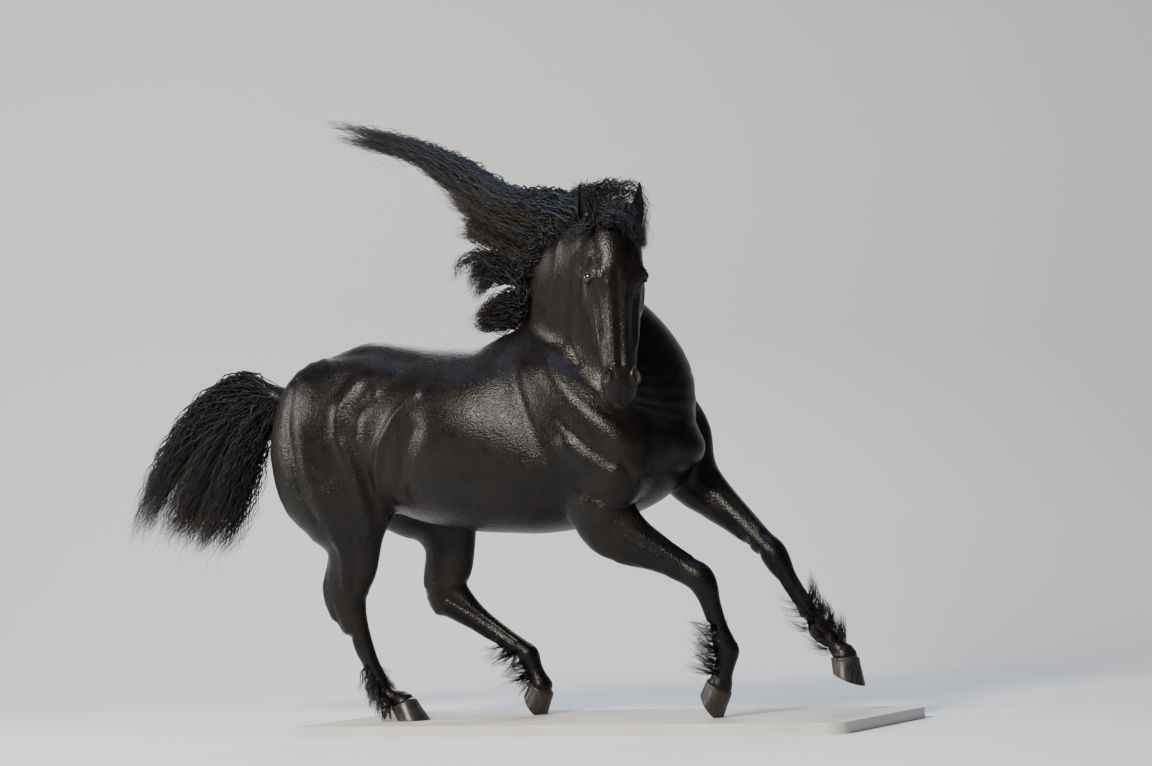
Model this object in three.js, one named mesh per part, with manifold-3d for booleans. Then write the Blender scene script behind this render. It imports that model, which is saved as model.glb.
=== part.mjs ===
// A life-size friesian horse in a left-lead canter, head turned to its right, on a plain flat base.
// Millimetres, +X is the horse's forward, +Y its left, +Z up. Origin: centre of the base's underside.
import * as THREE from "three";
import { mergeVertices } from "three/addons/utils/BufferGeometryUtils.js";
import Module from "manifold-3d";

const wasm = await Module();
wasm.setup();

// Driving dimensions
const base = { length: 2200, width: 820, thick: 40, corner: 60 };
const gap = 0.3; // between nodes that touch
const leanAngle = THREE.MathUtils.degToRad(7); // the body banks to its right
const leanLine = 60; // y of the line on the ground that the body banks about
const ringStep = { trunk: 90, neck: 60, mass: 90, leg: 48, head: 38, tail: 60 };
const fleshTolerance = 2; // how far the joined flesh may be simplified
const ringSides = { trunk: 22, neck: 20, mass: 12, leg: 12, head: 18, tail: 10, spur: 8 };
const ballSides = [12, 7];

// Trunk: x, top, belly, half width, taper towards the back line
const trunkRows = [
  [-1262, 1262, 1120, 62, 0],
  [-1225, 1316, 1040, 128, 0],
  [-1150, 1368, 990, 190, 0.04],
  [-1050, 1420, 950, 238, 0.08],
  [-940, 1468, 910, 262, 0.08],
  [-850, 1481, 866, 268, 0.06],
  [-740, 1468, 822, 276, 0.03],
  [-611, 1450, 775, 300, 0],
  [-460, 1438, 742, 320, -0.04],
  [-320, 1438, 728, 318, 0],
  [-190, 1484, 722, 296, 0.2],
  [-70, 1450, 730, 270, 0.3],
  [60, 1360, 745, 250, 0.25],
  [170, 1290, 775, 232, 0.1],
  [270, 1220, 815, 205, 0],
  [345, 1150, 865, 165, 0],
  [392, 1075, 930, 100, 0],
];

// Neck: crest point, underline point, half width, taper towards the crest
const neckRows = [
  [[-250, -105, 1400], [400, -60, 960], 225, 0.1],
  [[-178, -115, 1478], [412, -62, 1110], 208, 0.25],
  [[-142, -165, 1568], [362, -90, 1258], 166, 0.35],
  [[-112, -225, 1652], [282, -140, 1385], 130, 0.4],
  [[-52, -275, 1718], [240, -196, 1474], 110, 0.4],
  [[38, -315, 1766], [222, -250, 1532], 98, 0.38],
  [[128, -345, 1806], [222, -292, 1580], 92, 0.3],
  [[205, -368, 1834], [228, -330, 1640], 86, 0.2],
];

// Head, from the point midway between the eyes: down the nose, face, jaw, half width, taper
const headPlace = { eyes: [348, -450, 1588], yaw: 56, tilt: 3 };
const headRows = [
  [-222, -5, -80, 50, 0],
  [-200, 26, -118, 80, 0],
  [-150, 50, -145, 97, 0],
  [-90, 64, -162, 106, 0],
  [-35, 70, -178, 109, 0.05],
  [10, 68, -190, 108, 0.1],
  [60, 61, -196, 102, 0.14],
  [110, 54, -188, 95, 0.2],
  [160, 48, -162, 88, 0.22],
  [215, 43, -128, 79, 0.2],
  [270, 39, -104, 70, 0.12],
  [320, 38, -92, 64, 0],
  [362, 36, -88, 65, -0.04],
  [396, 26, -84, 60, -0.04],
  [424, 6, -74, 47, 0],
  [440, -16, -58, 26, 0],
];

// Legs: x, y, z of the centre line, half width, front and back half depth
const legRows = {
  foreleg_right: {
    mass: [
      [-150, -160, 1400, 24, 34, 44],
      [-40, -232, 1270, 78, 115, 140],
      [90, -252, 1120, 88, 135, 165],
      [215, -246, 990, 86, 118, 150],
      [236, -228, 900, 50, 56, 84],
    ],
    limb: [
      [235, -228, 950, 84, 105, 120],
      [165, -218, 850, 90, 118, 150],
      [165, -210, 770, 84, 106, 146],
      [240, -202, 695, 72, 80, 118],
      [340, -184, 628, 57, 61, 74],
      [425, -168, 572, 48, 50, 56],
      [480, -159, 536, 51, 53, 54],
      [502, -151, 496, 46, 45, 50],
      [514, -140, 446, 37, 34, 42],
      [530, -122, 366, 32, 31, 40],
      [545, -107, 300, 37, 39, 48],
      [550, -101, 272, 41, 45, 52],
      [541, -98, 232, 35, 36, 40],
      [524, -96, 190, 34, 38, 37],
      [512, -95, 158, 45, 48, 44],
    ],
    hoof: { coronet: [509, -95, 150], pitch: 60 },
  },
  foreleg_left: {
    mass: [
      [-150, -40, 1400, 24, 34, 44],
      [-30, 40, 1300, 78, 140, 140],
      [130, 118, 1160, 90, 188, 165],
      [272, 150, 1020, 92, 150, 150],
      [342, 140, 905, 50, 64, 74],
    ],
    limb: [
      [295, 124, 960, 84, 112, 120],
      [340, 142, 885, 84, 100, 104],
      [415, 140, 815, 72, 78, 82],
      [520, 129, 728, 56, 58, 61],
      [598, 118, 657, 47, 48, 49],
      [645, 112, 612, 50, 52, 50],
      [672, 117, 568, 46, 44, 48],
      [695, 128, 520, 36, 33, 38],
      [735, 152, 440, 31, 30, 37],
      [772, 172, 362, 36, 36, 44],
      [788, 180, 332, 40, 41, 50],
      [820, 184, 298, 34, 34, 38],
      [850, 188, 262, 34, 37, 36],
      [870, 190, 236, 45, 48, 44],
    ],
    hoof: { coronet: [872, 190, 228], pitch: 25 },
  },
  hindleg_right: {
    mass: [
      [-850, -178, 1352, 24, 40, 40],
      [-960, -240, 1260, 90, 160, 190],
      [-1012, -232, 1130, 108, 215, 240],
      [-1000, -225, 1010, 118, 240, 258],
      [-965, -215, 890, 112, 222, 242],
      [-942, -200, 790, 92, 170, 184],
    ],
    limb: [
      [-965, -215, 890, 108, 215, 236],
      [-942, -200, 790, 92, 168, 182],
      [-940, -184, 710, 74, 118, 132],
      [-962, -170, 630, 60, 112, 106],
      [-988, -158, 565, 52, 98, 92],
      [-1000, -149, 505, 53, 84, 94],
      [-986, -143, 440, 47, 64, 74],
      [-960, -132, 365, 37, 43, 56],
      [-928, -114, 262, 32, 32, 38],
      [-903, -100, 186, 38, 38, 46],
      [-893, -95, 150, 42, 42, 52],
      [-862, -91, 131, 36, 34, 38],
      [-832, -88, 118, 37, 37, 36],
      [-812, -86, 108, 45, 46, 42],
    ],
    hoof: { coronet: [-806, -86, 101], pitch: 0 },
  },
  hindleg_left: {
    mass: [
      [-850, -20, 1370, 24, 40, 40],
      [-950, 45, 1280, 90, 160, 190],
      [-975, 75, 1140, 108, 220, 250],
      [-905, 92, 1010, 116, 240, 255],
      [-800, 108, 900, 110, 205, 215],
      [-718, 120, 800, 88, 140, 150],
    ],
    limb: [
      [-800, 108, 900, 106, 198, 208],
      [-718, 120, 800, 88, 140, 148],
      [-698, 126, 715, 68, 104, 112],
      [-716, 129, 630, 60, 108, 100],
      [-732, 130, 565, 53, 102, 90],
      [-718, 131, 506, 53, 92, 92],
      [-670, 138, 460, 47, 66, 70],
      [-594, 148, 403, 37, 44, 54],
      [-490, 160, 330, 33, 36, 48],
      [-424, 167, 283, 38, 38, 46],
      [-402, 168, 262, 42, 42, 52],
      [-386, 170, 220, 36, 34, 38],
      [-370, 171, 178, 36, 38, 36],
      [-358, 172, 148, 45, 47, 43],
    ],
    hoof: { coronet: [-355, 172, 141], pitch: 58 },
  },
};
// Tendon from the gaskin to the point of the hock: from the hock's centre, back and up
const hockSpur = {
  hockHeight: 506, radius: 21, aside: 4,
  tip: [-58, 152, 0.8], neck: [-84, 70, 1], point: [-84, 34, 1.15], heel: [-52, -60, 1],
};

// Hoof: half widths at the coronet and the ground, wall heights, toe slope
const hoof = {
  top: 49, ground: 64, toe: 82, heel: 42, slope: 50, reach: 0.62, sides: 18, cut: 84, probe: 36,
};
// The pastern carried on into its hoof: how deep, half width, front and back half depth
const inHoof = [[10, 46, 47, 45], [32, 38, 36, 36]];

// Tail: centre line of the dock, half width and half thickness
const dockRows = [
  [-1200, -99, 1236, 44, 44, 44],
  [-1262, -98, 1276, 46, 42, 42],
  [-1340, -97, 1300, 40, 38, 38],
  [-1430, -93, 1284, 32, 30, 30],
  [-1500, -88, 1222, 24, 22, 22],
  [-1545, -82, 1140, 12, 12, 12],
];

// On the head: down the nose, out of the face, to the side
const eye = { down: 0, face: 20, side: 92, radius: 23 };
const orbit = { down: -4, face: 14, side: 68, long: 56, deep: 42, wide: 39 };
const lid = { radius: 5.5, above: 17, below: 15, reach: 24 };
const cheek = { down: 42, face: -100, side: 76, long: 92, deep: 78, wide: 34 };
const nostril = { down: 345, face: 12, side: 50, long: 32, deep: 24, wide: 22, wall: 8, turn: 24 };
const mouth = { corner: [338, -50], front: [452, -42], thick: 4, wide: 160 };
const chin = { down: 388, face: -72, long: 34, deep: 26, wide: 36 };
const ear = {
  down: -176, face: -34, side: 74, length: 168, wide: 36, deep: 27, wall: 7, splay: 9, ahead: 5, turn: 28,
  rings: 8, points: 6, arc: [-0.12, 1.12], cup: [0.12, 0.34], bow: 10,
};

// Mane: sheets of locks, each rooted on a share of the crest and spread between two paths
const mane = {
  seed: 7, rootDepth: 22, width: 84, thick: 17, wave: 12, waveLength: 260, rise: [16, 34], drift: 70,
  ends: [0.55, 1.05], widths: [0.75, 1.2], waves: [0.6, 1.3],
  core: { from: 0.04, to: 1, rise: 44, reach: 170, half: 24, drift: 0.25, lift: 0.36, steps: 7 },
  sheets: [
    { count: 6, rings: 6, broad: 0.8, roots: [0.72, 0.98],
      upper: [
        [23, -300, 1917], [-161, -265, 1953], [-368, -225, 2086],
        [-617, -180, 2197], [-978, -130, 2324],
      ],
      lower: [
        [-12, -300, 1837], [-194, -265, 1903], [-392, -225, 2019],
        [-630, -180, 2142], [-1004, -130, 2255],
      ] },
    { count: 6, rings: 5, broad: 1, roots: [0.5, 0.95],
      upper: [
        [27, -290, 1902], [-125, -255, 1936], [-292, -215, 2014],
        [-474, -170, 2122], [-660, -130, 2179],
      ],
      lower: [
        [-21, -290, 1766], [-172, -255, 1829], [-318, -215, 1911],
        [-468, -170, 2014], [-683, -130, 2144],
      ] },
    { count: 6, rings: 4, broad: 1.1, roots: [0.35, 0.8],
      upper: [
        [7, -265, 1784], [-121, -215, 1837], [-259, -170, 1909],
        [-393, -135, 1972], [-525, -100, 2040],
      ],
      lower: [
        [-48, -265, 1698], [-147, -215, 1729], [-255, -170, 1770],
        [-358, -135, 1810], [-459, -100, 1822],
      ] },
    { count: 5, rings: 4, broad: 0.6, roots: [0.76, 1],
      upper: [
        [92, -335, 1905], [11, -315, 1924], [-85, -290, 1937],
        [-194, -260, 1977], [-308, -220, 2053],
      ],
      lower: [
        [59, -335, 1854], [-33, -315, 1874], [-138, -290, 1905],
        [-247, -260, 1955], [-362, -220, 2035],
      ] },
    { count: 5, rings: 4, broad: 0.8, roots: [0.1, 0.45],
      upper: [
        [-132, -210, 1664], [-223, -175, 1711], [-347, -140, 1760],
        [-443, -110, 1736], [-489, -85, 1648],
      ],
      lower: [
        [-129, -210, 1618], [-194, -175, 1649], [-277, -140, 1654],
        [-343, -110, 1634], [-404, -85, 1566],
      ] },
    { count: 6, rings: 4, broad: 0.8, roots: [0.0, 0.2],
      upper: [
        [-174, -140, 1590], [-230, -115, 1601], [-308, -90, 1595],
        [-377, -65, 1565], [-434, -45, 1523],
      ],
      lower: [
        [-183, -140, 1517], [-246, -115, 1496], [-313, -90, 1488],
        [-381, -65, 1486], [-446, -45, 1501],
      ] },
  ],
};
// Tail hair: a short core, and locks spread between an outer and an inner path
const tailHair = {
  seed: 23, count: 18, width: 104, thick: 24, wave: 16, waves: 2.2, rings: 5, sway: 84,
  roots: [0.02, 0.5], rootDepth: 8, rise: 30, ends: [0.88, 1.02], widths: [0.75, 1.25], wavers: [0.6, 1.3],
  core: [
    [-1330, -97, 1292, 34, 34, 34],
    [-1430, -93, 1268, 50, 44, 44],
    [-1530, -88, 1198, 56, 50, 52],
    [-1610, -80, 1104, 40, 42, 42],
    [-1670, -72, 1000, 12, 14, 14],
  ],
  outer: [[-1480, -92, 1358], [-1700, -80, 1270], [-1900, -60, 1075], [-2086, -40, 762]],
  inner: [[-1400, -92, 1170], [-1450, -84, 1050], [-1530, -70, 860], [-1640, -50, 672]],
};
// Forelock: paths down the nose, out of the face and to the left, spread by a share of each row
const forelock = {
  seed: 5, width: 54, thick: 13, wave: 7, waves: 1.6, rings: 5, spread: [0.2, 0.8],
  widths: [0.8, 1.2],
  sweeps: [
    { count: 4,
      from: [
        [-186, -62, -6], [-332, -77, -64], [-356, -45, -27], [-339, -11, 25],
        [-333, 20, 79], [-278, 32, 112], [-149, 33, 123],
      ],
      to: [
        [-184, -40, 22], [-250, -60, -33], [-276, -33, -3], [-266, -8, 35],
        [-234, 12, 75], [-188, 18, 98], [-116, 23, 111],
      ] },
    { count: 2,
      from: [
        [-186, -34, -46], [-205, 42, -39], [-208, 61, 3],
        [-179, 72, 43], [-134, 75, 80], [-90, 74, 99],
      ],
      to: [
        [-182, -28, -30], [-178, 45, -33], [-182, 64, 9],
        [-155, 68, 38], [-119, 69, 71], [-83, 67, 89],
      ] },
    { count: 2,
      from: [
        [-190, -76, -10], [-302, -60, -32], [-338, -85, -63], [-345, -124, -95],
        [-331, -170, -126], [-324, -225, -161],
      ],
      to: [
        [-188, -76, -24], [-252, -70, -42], [-275, -90, -66], [-287, -129, -96],
        [-284, -177, -132], [-278, -234, -171],
      ] },
  ],
};
// Feathers: length and shape of a lock, then each leg's lift, number of locks, and how many lie ahead
const feather = {
  seed: 11, length: 108, width: 32, thick: 10, wave: 4, waves: 1, rings: 3,
  rows: [6, 2], round: 1.25, turns: 2.6, roots: [0.12, 0.92], lengths: [0.7, 1.15], outward: 0.55,
  lifts: [[8, 0], [36, 0.04], [52, 0.45], [44, 1]],
};
const feathers = {
  foreleg_right: { lift: 0.25, count: 7, ahead: 0 },
  foreleg_left: { lift: 0.9, count: 9, ahead: 6 },
  hindleg_right: { lift: -0.75, count: 7, ahead: 0 },
  hindleg_left: { lift: 0.1, count: 7, ahead: 0 },
};

// Where the flesh is parted by thin cuts: a point, the way the cut faces, and how far it reaches
const cuts = {
  neck: { at: [117, -88, 1250], facing: [0.53, 0, 0.85], reach: 460 },
  tail: { at: [-1284, -98, 1284], facing: [-1, 0, 0.25], reach: 78 },
  foreleg_right: { at: [272, -198, 674], facing: [0.82, 0.14, -0.56], reach: 130 },
  foreleg_left: { at: [448, 138, 788], facing: [0.76, -0.1, -0.64], reach: 120 },
  hindleg_right: { at: [-950, -205, 790], facing: [0, 0, -1], reach: 215 },
  hindleg_left: { at: [-706, 126, 728], facing: [0.1, 0, -1], reach: 150 },
  knee_right: { at: [432, -167, 566], facing: [0.83, 0.13, -0.54], reach: 90 },
  knee_left: { at: [603, 117, 652], facing: [0.7, -0.1, -0.7], reach: 85 },
  hock_right: { at: [-992, -156, 552], facing: [-0.1, 0, -1], reach: 135 },
  hock_left: { at: [-732, 130, 552], facing: [0.1, 0, -1], reach: 135 },
};

const colours = { coat: 0x14110f, hair: 0x0d0c0c, hoof: 0x1b1917, eye: 0x120b07, base: 0xb9b6ae };
const material = (colour, roughness) =>
  new THREE.MeshStandardMaterial({ color: colour, roughness, metalness: 0 });
const materials = {
  coat: material(colours.coat, 0.35),
  hair: material(colours.hair, 0.5),
  hoof: material(colours.hoof, 0.55),
  eye: material(colours.eye, 0.08),
  base: material(colours.base, 0.7),
};

// Solids
function toSolid(geometry) {
  const bare = geometry.clone();
  bare.deleteAttribute("normal");
  bare.deleteAttribute("uv");
  const merged = mergeVertices(bare, 1e-3);
  return new wasm.Manifold(
    new wasm.Mesh({
      numProp: 3,
      vertProperties: new Float32Array(merged.attributes.position.array),
      triVerts: new Uint32Array(merged.index.array),
    }),
  );
}

function toGeometry(solid) {
  const mesh = solid.getMesh();
  const points = new Float32Array(mesh.numVert * 3);
  for (let i = 0; i < mesh.numVert; i++) {
    const at = i * mesh.numProp;
    points.set(mesh.vertProperties.subarray(at, at + 3), i * 3);
  }
  const geometry = new THREE.BufferGeometry();
  geometry.setAttribute("position", new THREE.BufferAttribute(points, 3));
  geometry.setIndex(new THREE.BufferAttribute(mesh.triVerts, 1));
  return geometry;
}

function largest(solid) {
  const bodies = solid.decompose();
  return bodies.reduce((best, body) => (body.volume() > best.volume() ? body : best));
}

const union = (solids) => solids.reduce((sum, solid) => sum.add(solid));

// A closed skin over rings of equal length, capped by a point at each end.
function ringLoft(rings) {
  const sides = rings[0].length;
  const points = rings.flat();
  const middle = (ring) =>
    ring.reduce((sum, p) => sum.add(p), new THREE.Vector3()).divideScalar(sides);
  points.push(middle(rings[0]), middle(rings[rings.length - 1]));
  const [first, last] = [points.length - 2, points.length - 1];
  const lastRing = (rings.length - 1) * sides;
  const faces = [];
  for (let j = 0; j < sides; j++) {
    const next = (j + 1) % sides;
    for (let i = 0; i < rings.length - 1; i++) {
      const [a, b] = [i * sides + j, i * sides + next];
      faces.push(a, b, b + sides, a, b + sides, a + sides);
    }
    faces.push(first, next, j, last, lastRing + j, lastRing + next);
  }
  const geometry = new THREE.BufferGeometry().setFromPoints(points);
  geometry.setIndex(faces);
  const solid = toSolid(geometry);
  if (solid.volume() > 0) return solid;
  for (let i = 0; i < faces.length; i += 3) [faces[i], faces[i + 1]] = [faces[i + 1], faces[i]];
  geometry.setIndex(faces);
  return toSolid(geometry);
}

// Smooth values between rows of numbers, at even steps along the centre line.
function resample(rows, step) {
  const places = rows.map((row) => new THREE.Vector3(...row.slice(0, 3)));
  let length = 0;
  const along = places.map((p, i) => (length += i ? p.distanceTo(places[i - 1]) : 0));
  const count = Math.max(2, Math.round(length / step));
  const values = (t) => {
    const k = Math.min(
      rows.length - 2,
      Math.max(0, along.findIndex((a) => a > t) - 1 + (t >= length ? rows.length : 0)),
    );
    const [a, b] = [rows[k], rows[k + 1]];
    const [before, after] = [rows[Math.max(0, k - 1)], rows[Math.min(rows.length - 1, k + 2)]];
    const u = (t - along[k]) / (along[k + 1] - along[k]);
    return a.map(
      (value, i) =>
        0.5 *
        (2 * value +
          (b[i] - before[i]) * u +
          (2 * before[i] - 5 * value + 4 * b[i] - after[i]) * u * u +
          (3 * value - before[i] - 3 * b[i] + after[i]) * u * u * u),
    );
  };
  return Array.from({ length: count + 1 }, (_, i) => values((length * i) / count));
}

// One oval ring: front and back depths differ, and the taper narrows it towards the front.
function ovalRing(centre, side, front, size, sides, turn = 0) {
  return Array.from({ length: sides }, (_, j) => {
    const angle = (2 * Math.PI * (j + turn)) / sides;
    const up = Math.sin(angle);
    const width = size.width * (1 - size.taper * up) * Math.cos(angle);
    const depth = up * (up > 0 ? size.front : size.back);
    return centre.clone().addScaledVector(side, width).addScaledVector(front, depth);
  });
}

// A limb: oval rings square to the centre line.
function limb(rows, step, sides, across = new THREE.Vector3(0, 1, 0)) {
  const dense = resample(rows, step);
  const places = dense.map((row) => new THREE.Vector3(...row.slice(0, 3)));
  let facing = new THREE.Vector3(1, 0, 0);
  const rings = dense.map((row, i) => {
    const along = places[Math.min(i + 1, places.length - 1)]
      .clone()
      .sub(places[Math.max(i - 1, 0)])
      .normalize();
    const side = across.clone().addScaledVector(along, -across.dot(along)).normalize();
    const front = new THREE.Vector3().crossVectors(side, along).normalize();
    if (front.dot(facing) < 0) front.negate();
    facing = front;
    const size = { width: row[3], front: row[4], back: row[5], taper: row[6] ?? 0 };
    return ovalRing(places[i], side, front, size, sides);
  });
  return ringLoft(rings);
}

const lean = (x, y, z) =>
  new THREE.Vector3(
    x,
    leanLine + y * Math.cos(leanAngle) - (z - base.thick) * Math.sin(leanAngle),
    base.thick + (z - base.thick) * Math.cos(leanAngle) + y * Math.sin(leanAngle),
  );

function makeTrunk() {
  const rows = trunkRows.map(([x, top, belly, width, taper]) => [
    x, 0, (top + belly) / 2, width, (top - belly) / 2, (top - belly) / 2, taper,
  ]);
  const side = new THREE.Vector3(0, Math.cos(leanAngle), Math.sin(leanAngle));
  const up = new THREE.Vector3(0, -Math.sin(leanAngle), Math.cos(leanAngle));
  const rings = resample(rows, ringStep.trunk).map(([x, y, z, width, front, back, taper]) =>
    ovalRing(lean(x, y, z), side, up, { width, front, back, taper }, ringSides.trunk),
  );
  return ringLoft(rings);
}

function neckSections() {
  const rows = neckRows.map(([crest, under, width, taper]) => [
    ...crest.map((value, i) => (value + under[i]) / 2), ...crest, width, taper,
  ]);
  return resample(rows, ringStep.neck).map((row) => ({
    centre: new THREE.Vector3(...row.slice(0, 3)),
    crest: new THREE.Vector3(...row.slice(3, 6)),
    width: row[6],
    taper: row[7],
  }));
}

function makeNeck() {
  const sections = neckSections();
  const rings = sections.map(({ centre, crest, width, taper }, i) => {
    const along = sections[Math.min(i + 1, sections.length - 1)].centre
      .clone()
      .sub(sections[Math.max(i - 1, 0)].centre);
    const up = crest.clone().sub(centre);
    const depth = up.length();
    up.normalize();
    const side = new THREE.Vector3().crossVectors(up, along).normalize();
    return ovalRing(centre, side, up, { width, front: depth, back: depth, taper }, ringSides.neck);
  });
  return ringLoft(rings);
}

// The head's own axes: down the nose, out of the face, and to its left.
const headAxes = (() => {
  const yaw = THREE.MathUtils.degToRad(headPlace.yaw);
  const tilt = THREE.MathUtils.degToRad(headPlace.tilt);
  const facing = new THREE.Vector3(Math.cos(yaw), -Math.sin(yaw), 0);
  const up = new THREE.Vector3(0, 0, 1);
  return {
    down: facing.clone().multiplyScalar(Math.sin(tilt)).addScaledVector(up, -Math.cos(tilt)),
    face: facing.clone().multiplyScalar(Math.cos(tilt)).addScaledVector(up, Math.sin(tilt)),
    left: new THREE.Vector3(Math.sin(yaw), Math.cos(yaw), 0),
  };
})();

const onHead = (down, face, left) =>
  new THREE.Vector3(...headPlace.eyes)
    .addScaledVector(headAxes.down, down)
    .addScaledVector(headAxes.face, face)
    .addScaledVector(headAxes.left, left);

function makeSkull() {
  const rows = headRows.map(([down, face, jaw, width, taper]) => [
    down, 0, 0, (face + jaw) / 2, width, (face - jaw) / 2, taper,
  ]);
  const rings = resample(rows, ringStep.head).map(([down, , , middle, width, depth, taper]) =>
    ovalRing(
      onHead(down, middle, 0), headAxes.left, headAxes.face,
      { width, front: depth, back: depth, taper }, ringSides.head,
    ),
  );
  return ringLoft(rings);
}

function ball(centre, long, deep, wide, turn = 0) {
  const geometry = new THREE.SphereGeometry(1, ...ballSides);
  const leftTurned = headAxes.left.clone().applyAxisAngle(headAxes.face, THREE.MathUtils.degToRad(turn));
  const downTurned = headAxes.down.clone().applyAxisAngle(headAxes.face, THREE.MathUtils.degToRad(turn));
  const place = new THREE.Matrix4().makeBasis(
    downTurned.multiplyScalar(long),
    headAxes.face.clone().multiplyScalar(deep),
    leftTurned.multiplyScalar(wide),
  );
  if (place.determinant() < 0) geometry.index.array.reverse();
  place.setPosition(centre);
  return toSolid(geometry.applyMatrix4(place));
}

function slab(at, facing, reach, thick) {
  const geometry = new THREE.BoxGeometry(reach * 2, reach * 2, thick);
  const way = new THREE.Vector3(...facing).normalize();
  geometry.applyQuaternion(new THREE.Quaternion().setFromUnitVectors(new THREE.Vector3(0, 0, 1), way));
  geometry.translate(...at);
  return toSolid(geometry);
}

// A body and its close surroundings: what is cut by it keeps the gap.
function swollen(solid) {
  const shifts = [[gap, 0, 0], [-gap, 0, 0], [0, gap, 0], [0, -gap, 0], [0, 0, gap], [0, 0, -gap]];
  return shifts.reduce((sum, shift) => sum.add(solid.translate(shift)), solid);
}

function makeEye(side) {
  return ball(onHead(eye.down, eye.face, side * eye.side), eye.radius, eye.radius, eye.radius);
}

// A roll of skin over or under the eye, from corner to corner.
function makeLid(side, rise) {
  const rows = [];
  for (let i = 0; i <= 6; i++) {
    const angle = Math.PI * (0.04 + (0.92 * i) / 6);
    const face = eye.face + 4 + lid.reach * 0.92 * Math.cos(angle);
    const down = eye.down - rise * Math.sin(angle);
    const out = eye.side + 19 - 12 * Math.abs(Math.cos(angle)) - Math.abs(rise) * 0.28 * Math.sin(angle);
    const thick = lid.radius * (0.7 + 0.3 * Math.sin(angle));
    rows.push([...onHead(down, face, side * out), thick, thick, thick]);
  }
  return limb(rows, 12, 6, headAxes.left);
}

function makeHeadFlesh() {
  const pieces = [makeSkull()];
  pieces.push(ball(onHead(chin.down, chin.face, 0), chin.long, chin.deep, chin.wide));
  for (const side of [-1, 1]) {
    pieces.push(
      ball(onHead(orbit.down, orbit.face, side * orbit.side), orbit.long, orbit.deep, orbit.wide),
      ball(onHead(cheek.down, cheek.face, side * cheek.side), cheek.long, cheek.deep, cheek.wide),
      ball(
        onHead(nostril.down, nostril.face, side * nostril.side),
        nostril.long, nostril.deep, nostril.wide, side * nostril.turn,
      ),
      makeLid(side, lid.above),
      makeLid(side, -lid.below),
    );
  }
  return union(pieces);
}

// What is cut out of the head: eye sockets, nostrils and the line of the mouth.
function makeHeadHollows() {
  const hollows = [];
  for (const side of [-1, 1]) {
    const socket = eye.radius + gap;
    hollows.push(
      ball(onHead(eye.down, eye.face, side * eye.side), socket, socket, socket),
      ball(
        onHead(nostril.down + 4, nostril.face + 12, side * (nostril.side + 9)),
        nostril.long - nostril.wall, nostril.deep - nostril.wall, nostril.wide - nostril.wall,
        side * nostril.turn,
      ),
    );
  }
  const [corner, front] = [mouth.corner, mouth.front].map(([down, face]) => onHead(down, face, 0));
  const along = front.clone().sub(corner);
  const slot = new THREE.BoxGeometry(along.length(), mouth.wide, mouth.thick);
  const thickWay = new THREE.Vector3().crossVectors(along, headAxes.left).normalize();
  const place = new THREE.Matrix4().makeBasis(along.clone().normalize(), headAxes.left, thickWay);
  place.setPosition(corner.clone().addScaledVector(along, 0.5));
  hollows.push(toSolid(slot.applyMatrix4(place)));
  return union(hollows);
}

// An ear: a tapering cup, solid at its root, open to the front and side.
function makeEar(side) {
  const radians = THREE.MathUtils.degToRad;
  const up = headAxes.down
    .clone()
    .negate()
    .addScaledVector(headAxes.left, side * Math.tan(radians(ear.splay)))
    .addScaledVector(headAxes.face, Math.tan(radians(ear.ahead)))
    .normalize();
  const open = headAxes.face.clone().applyAxisAngle(headAxes.down, -side * radians(ear.turn));
  open.addScaledVector(up, -open.dot(up)).normalize();
  const across = new THREE.Vector3().crossVectors(up, open).normalize();
  const root = onHead(ear.down, ear.face, side * ear.side);
  const rings = [];
  for (let i = 0; i <= ear.rings; i++) {
    const t = i / ear.rings;
    const spread = 0.72 + 0.28 * Math.sin(Math.PI * Math.min(1, t * 1.35));
    const width = ear.wide * spread * Math.pow(1 - t, 0.55) + 1;
    const depth = ear.deep * spread * Math.pow(1 - t, 0.5) + 1;
    const hollow = THREE.MathUtils.smoothstep(t, ...ear.cup);
    const centre = root.clone().addScaledVector(up, ear.length * t);
    centre.addScaledVector(across, side * ear.bow * Math.sin(Math.PI * t * 0.8));
    const wall = Math.min(ear.wall, depth * 0.35);
    const ring = [];
    const angleAt = (j) => Math.PI * THREE.MathUtils.lerp(...ear.arc, j / ear.points);
    for (let j = 0; j <= ear.points; j++) {
      const angle = angleAt(j);
      ring.push([width * Math.cos(angle), -depth * Math.sin(angle)]);
    }
    for (let j = ear.points - 1; j >= 1; j--) {
      const angle = angleAt(j);
      const cup = -(depth - wall) * Math.sin(angle);
      const full = depth * (0.37 + 0.5 * Math.sin((Math.PI * j) / ear.points));
      ring.push([(width - wall) * Math.cos(angle), THREE.MathUtils.lerp(full, cup, hollow)]);
    }
    rings.push(ring.map(([a, b]) => centre.clone().addScaledVector(across, a).addScaledVector(open, b)));
  }
  return ringLoft(rings);
}

function makeHoof({ coronet, pitch }) {
  const slope = hoof.toe / Math.tan(THREE.MathUtils.degToRad(hoof.slope));
  const middle = (hoof.toe + hoof.heel) / 2;
  const ring = (share) =>
    Array.from({ length: hoof.sides }, (_, j) => {
      const angle = (2 * Math.PI * j) / hoof.sides;
      const reach = Math.cos(angle);
      const radius = THREE.MathUtils.lerp(hoof.top, hoof.ground, share);
      const topHeight = THREE.MathUtils.lerp(hoof.heel, hoof.toe, (reach + 1) / 2);
      return new THREE.Vector3(
        radius * reach + slope * share * hoof.reach,
        radius * Math.sin(angle),
        topHeight * (1 - share) - middle,
      );
    });
  const turn = new THREE.Matrix4().makeRotationY(THREE.MathUtils.degToRad(pitch));
  turn.setPosition(...coronet);
  return ringLoft([0, 0.5, 1].map((share) => ring(share).map((p) => p.applyMatrix4(turn))));
}

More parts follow.
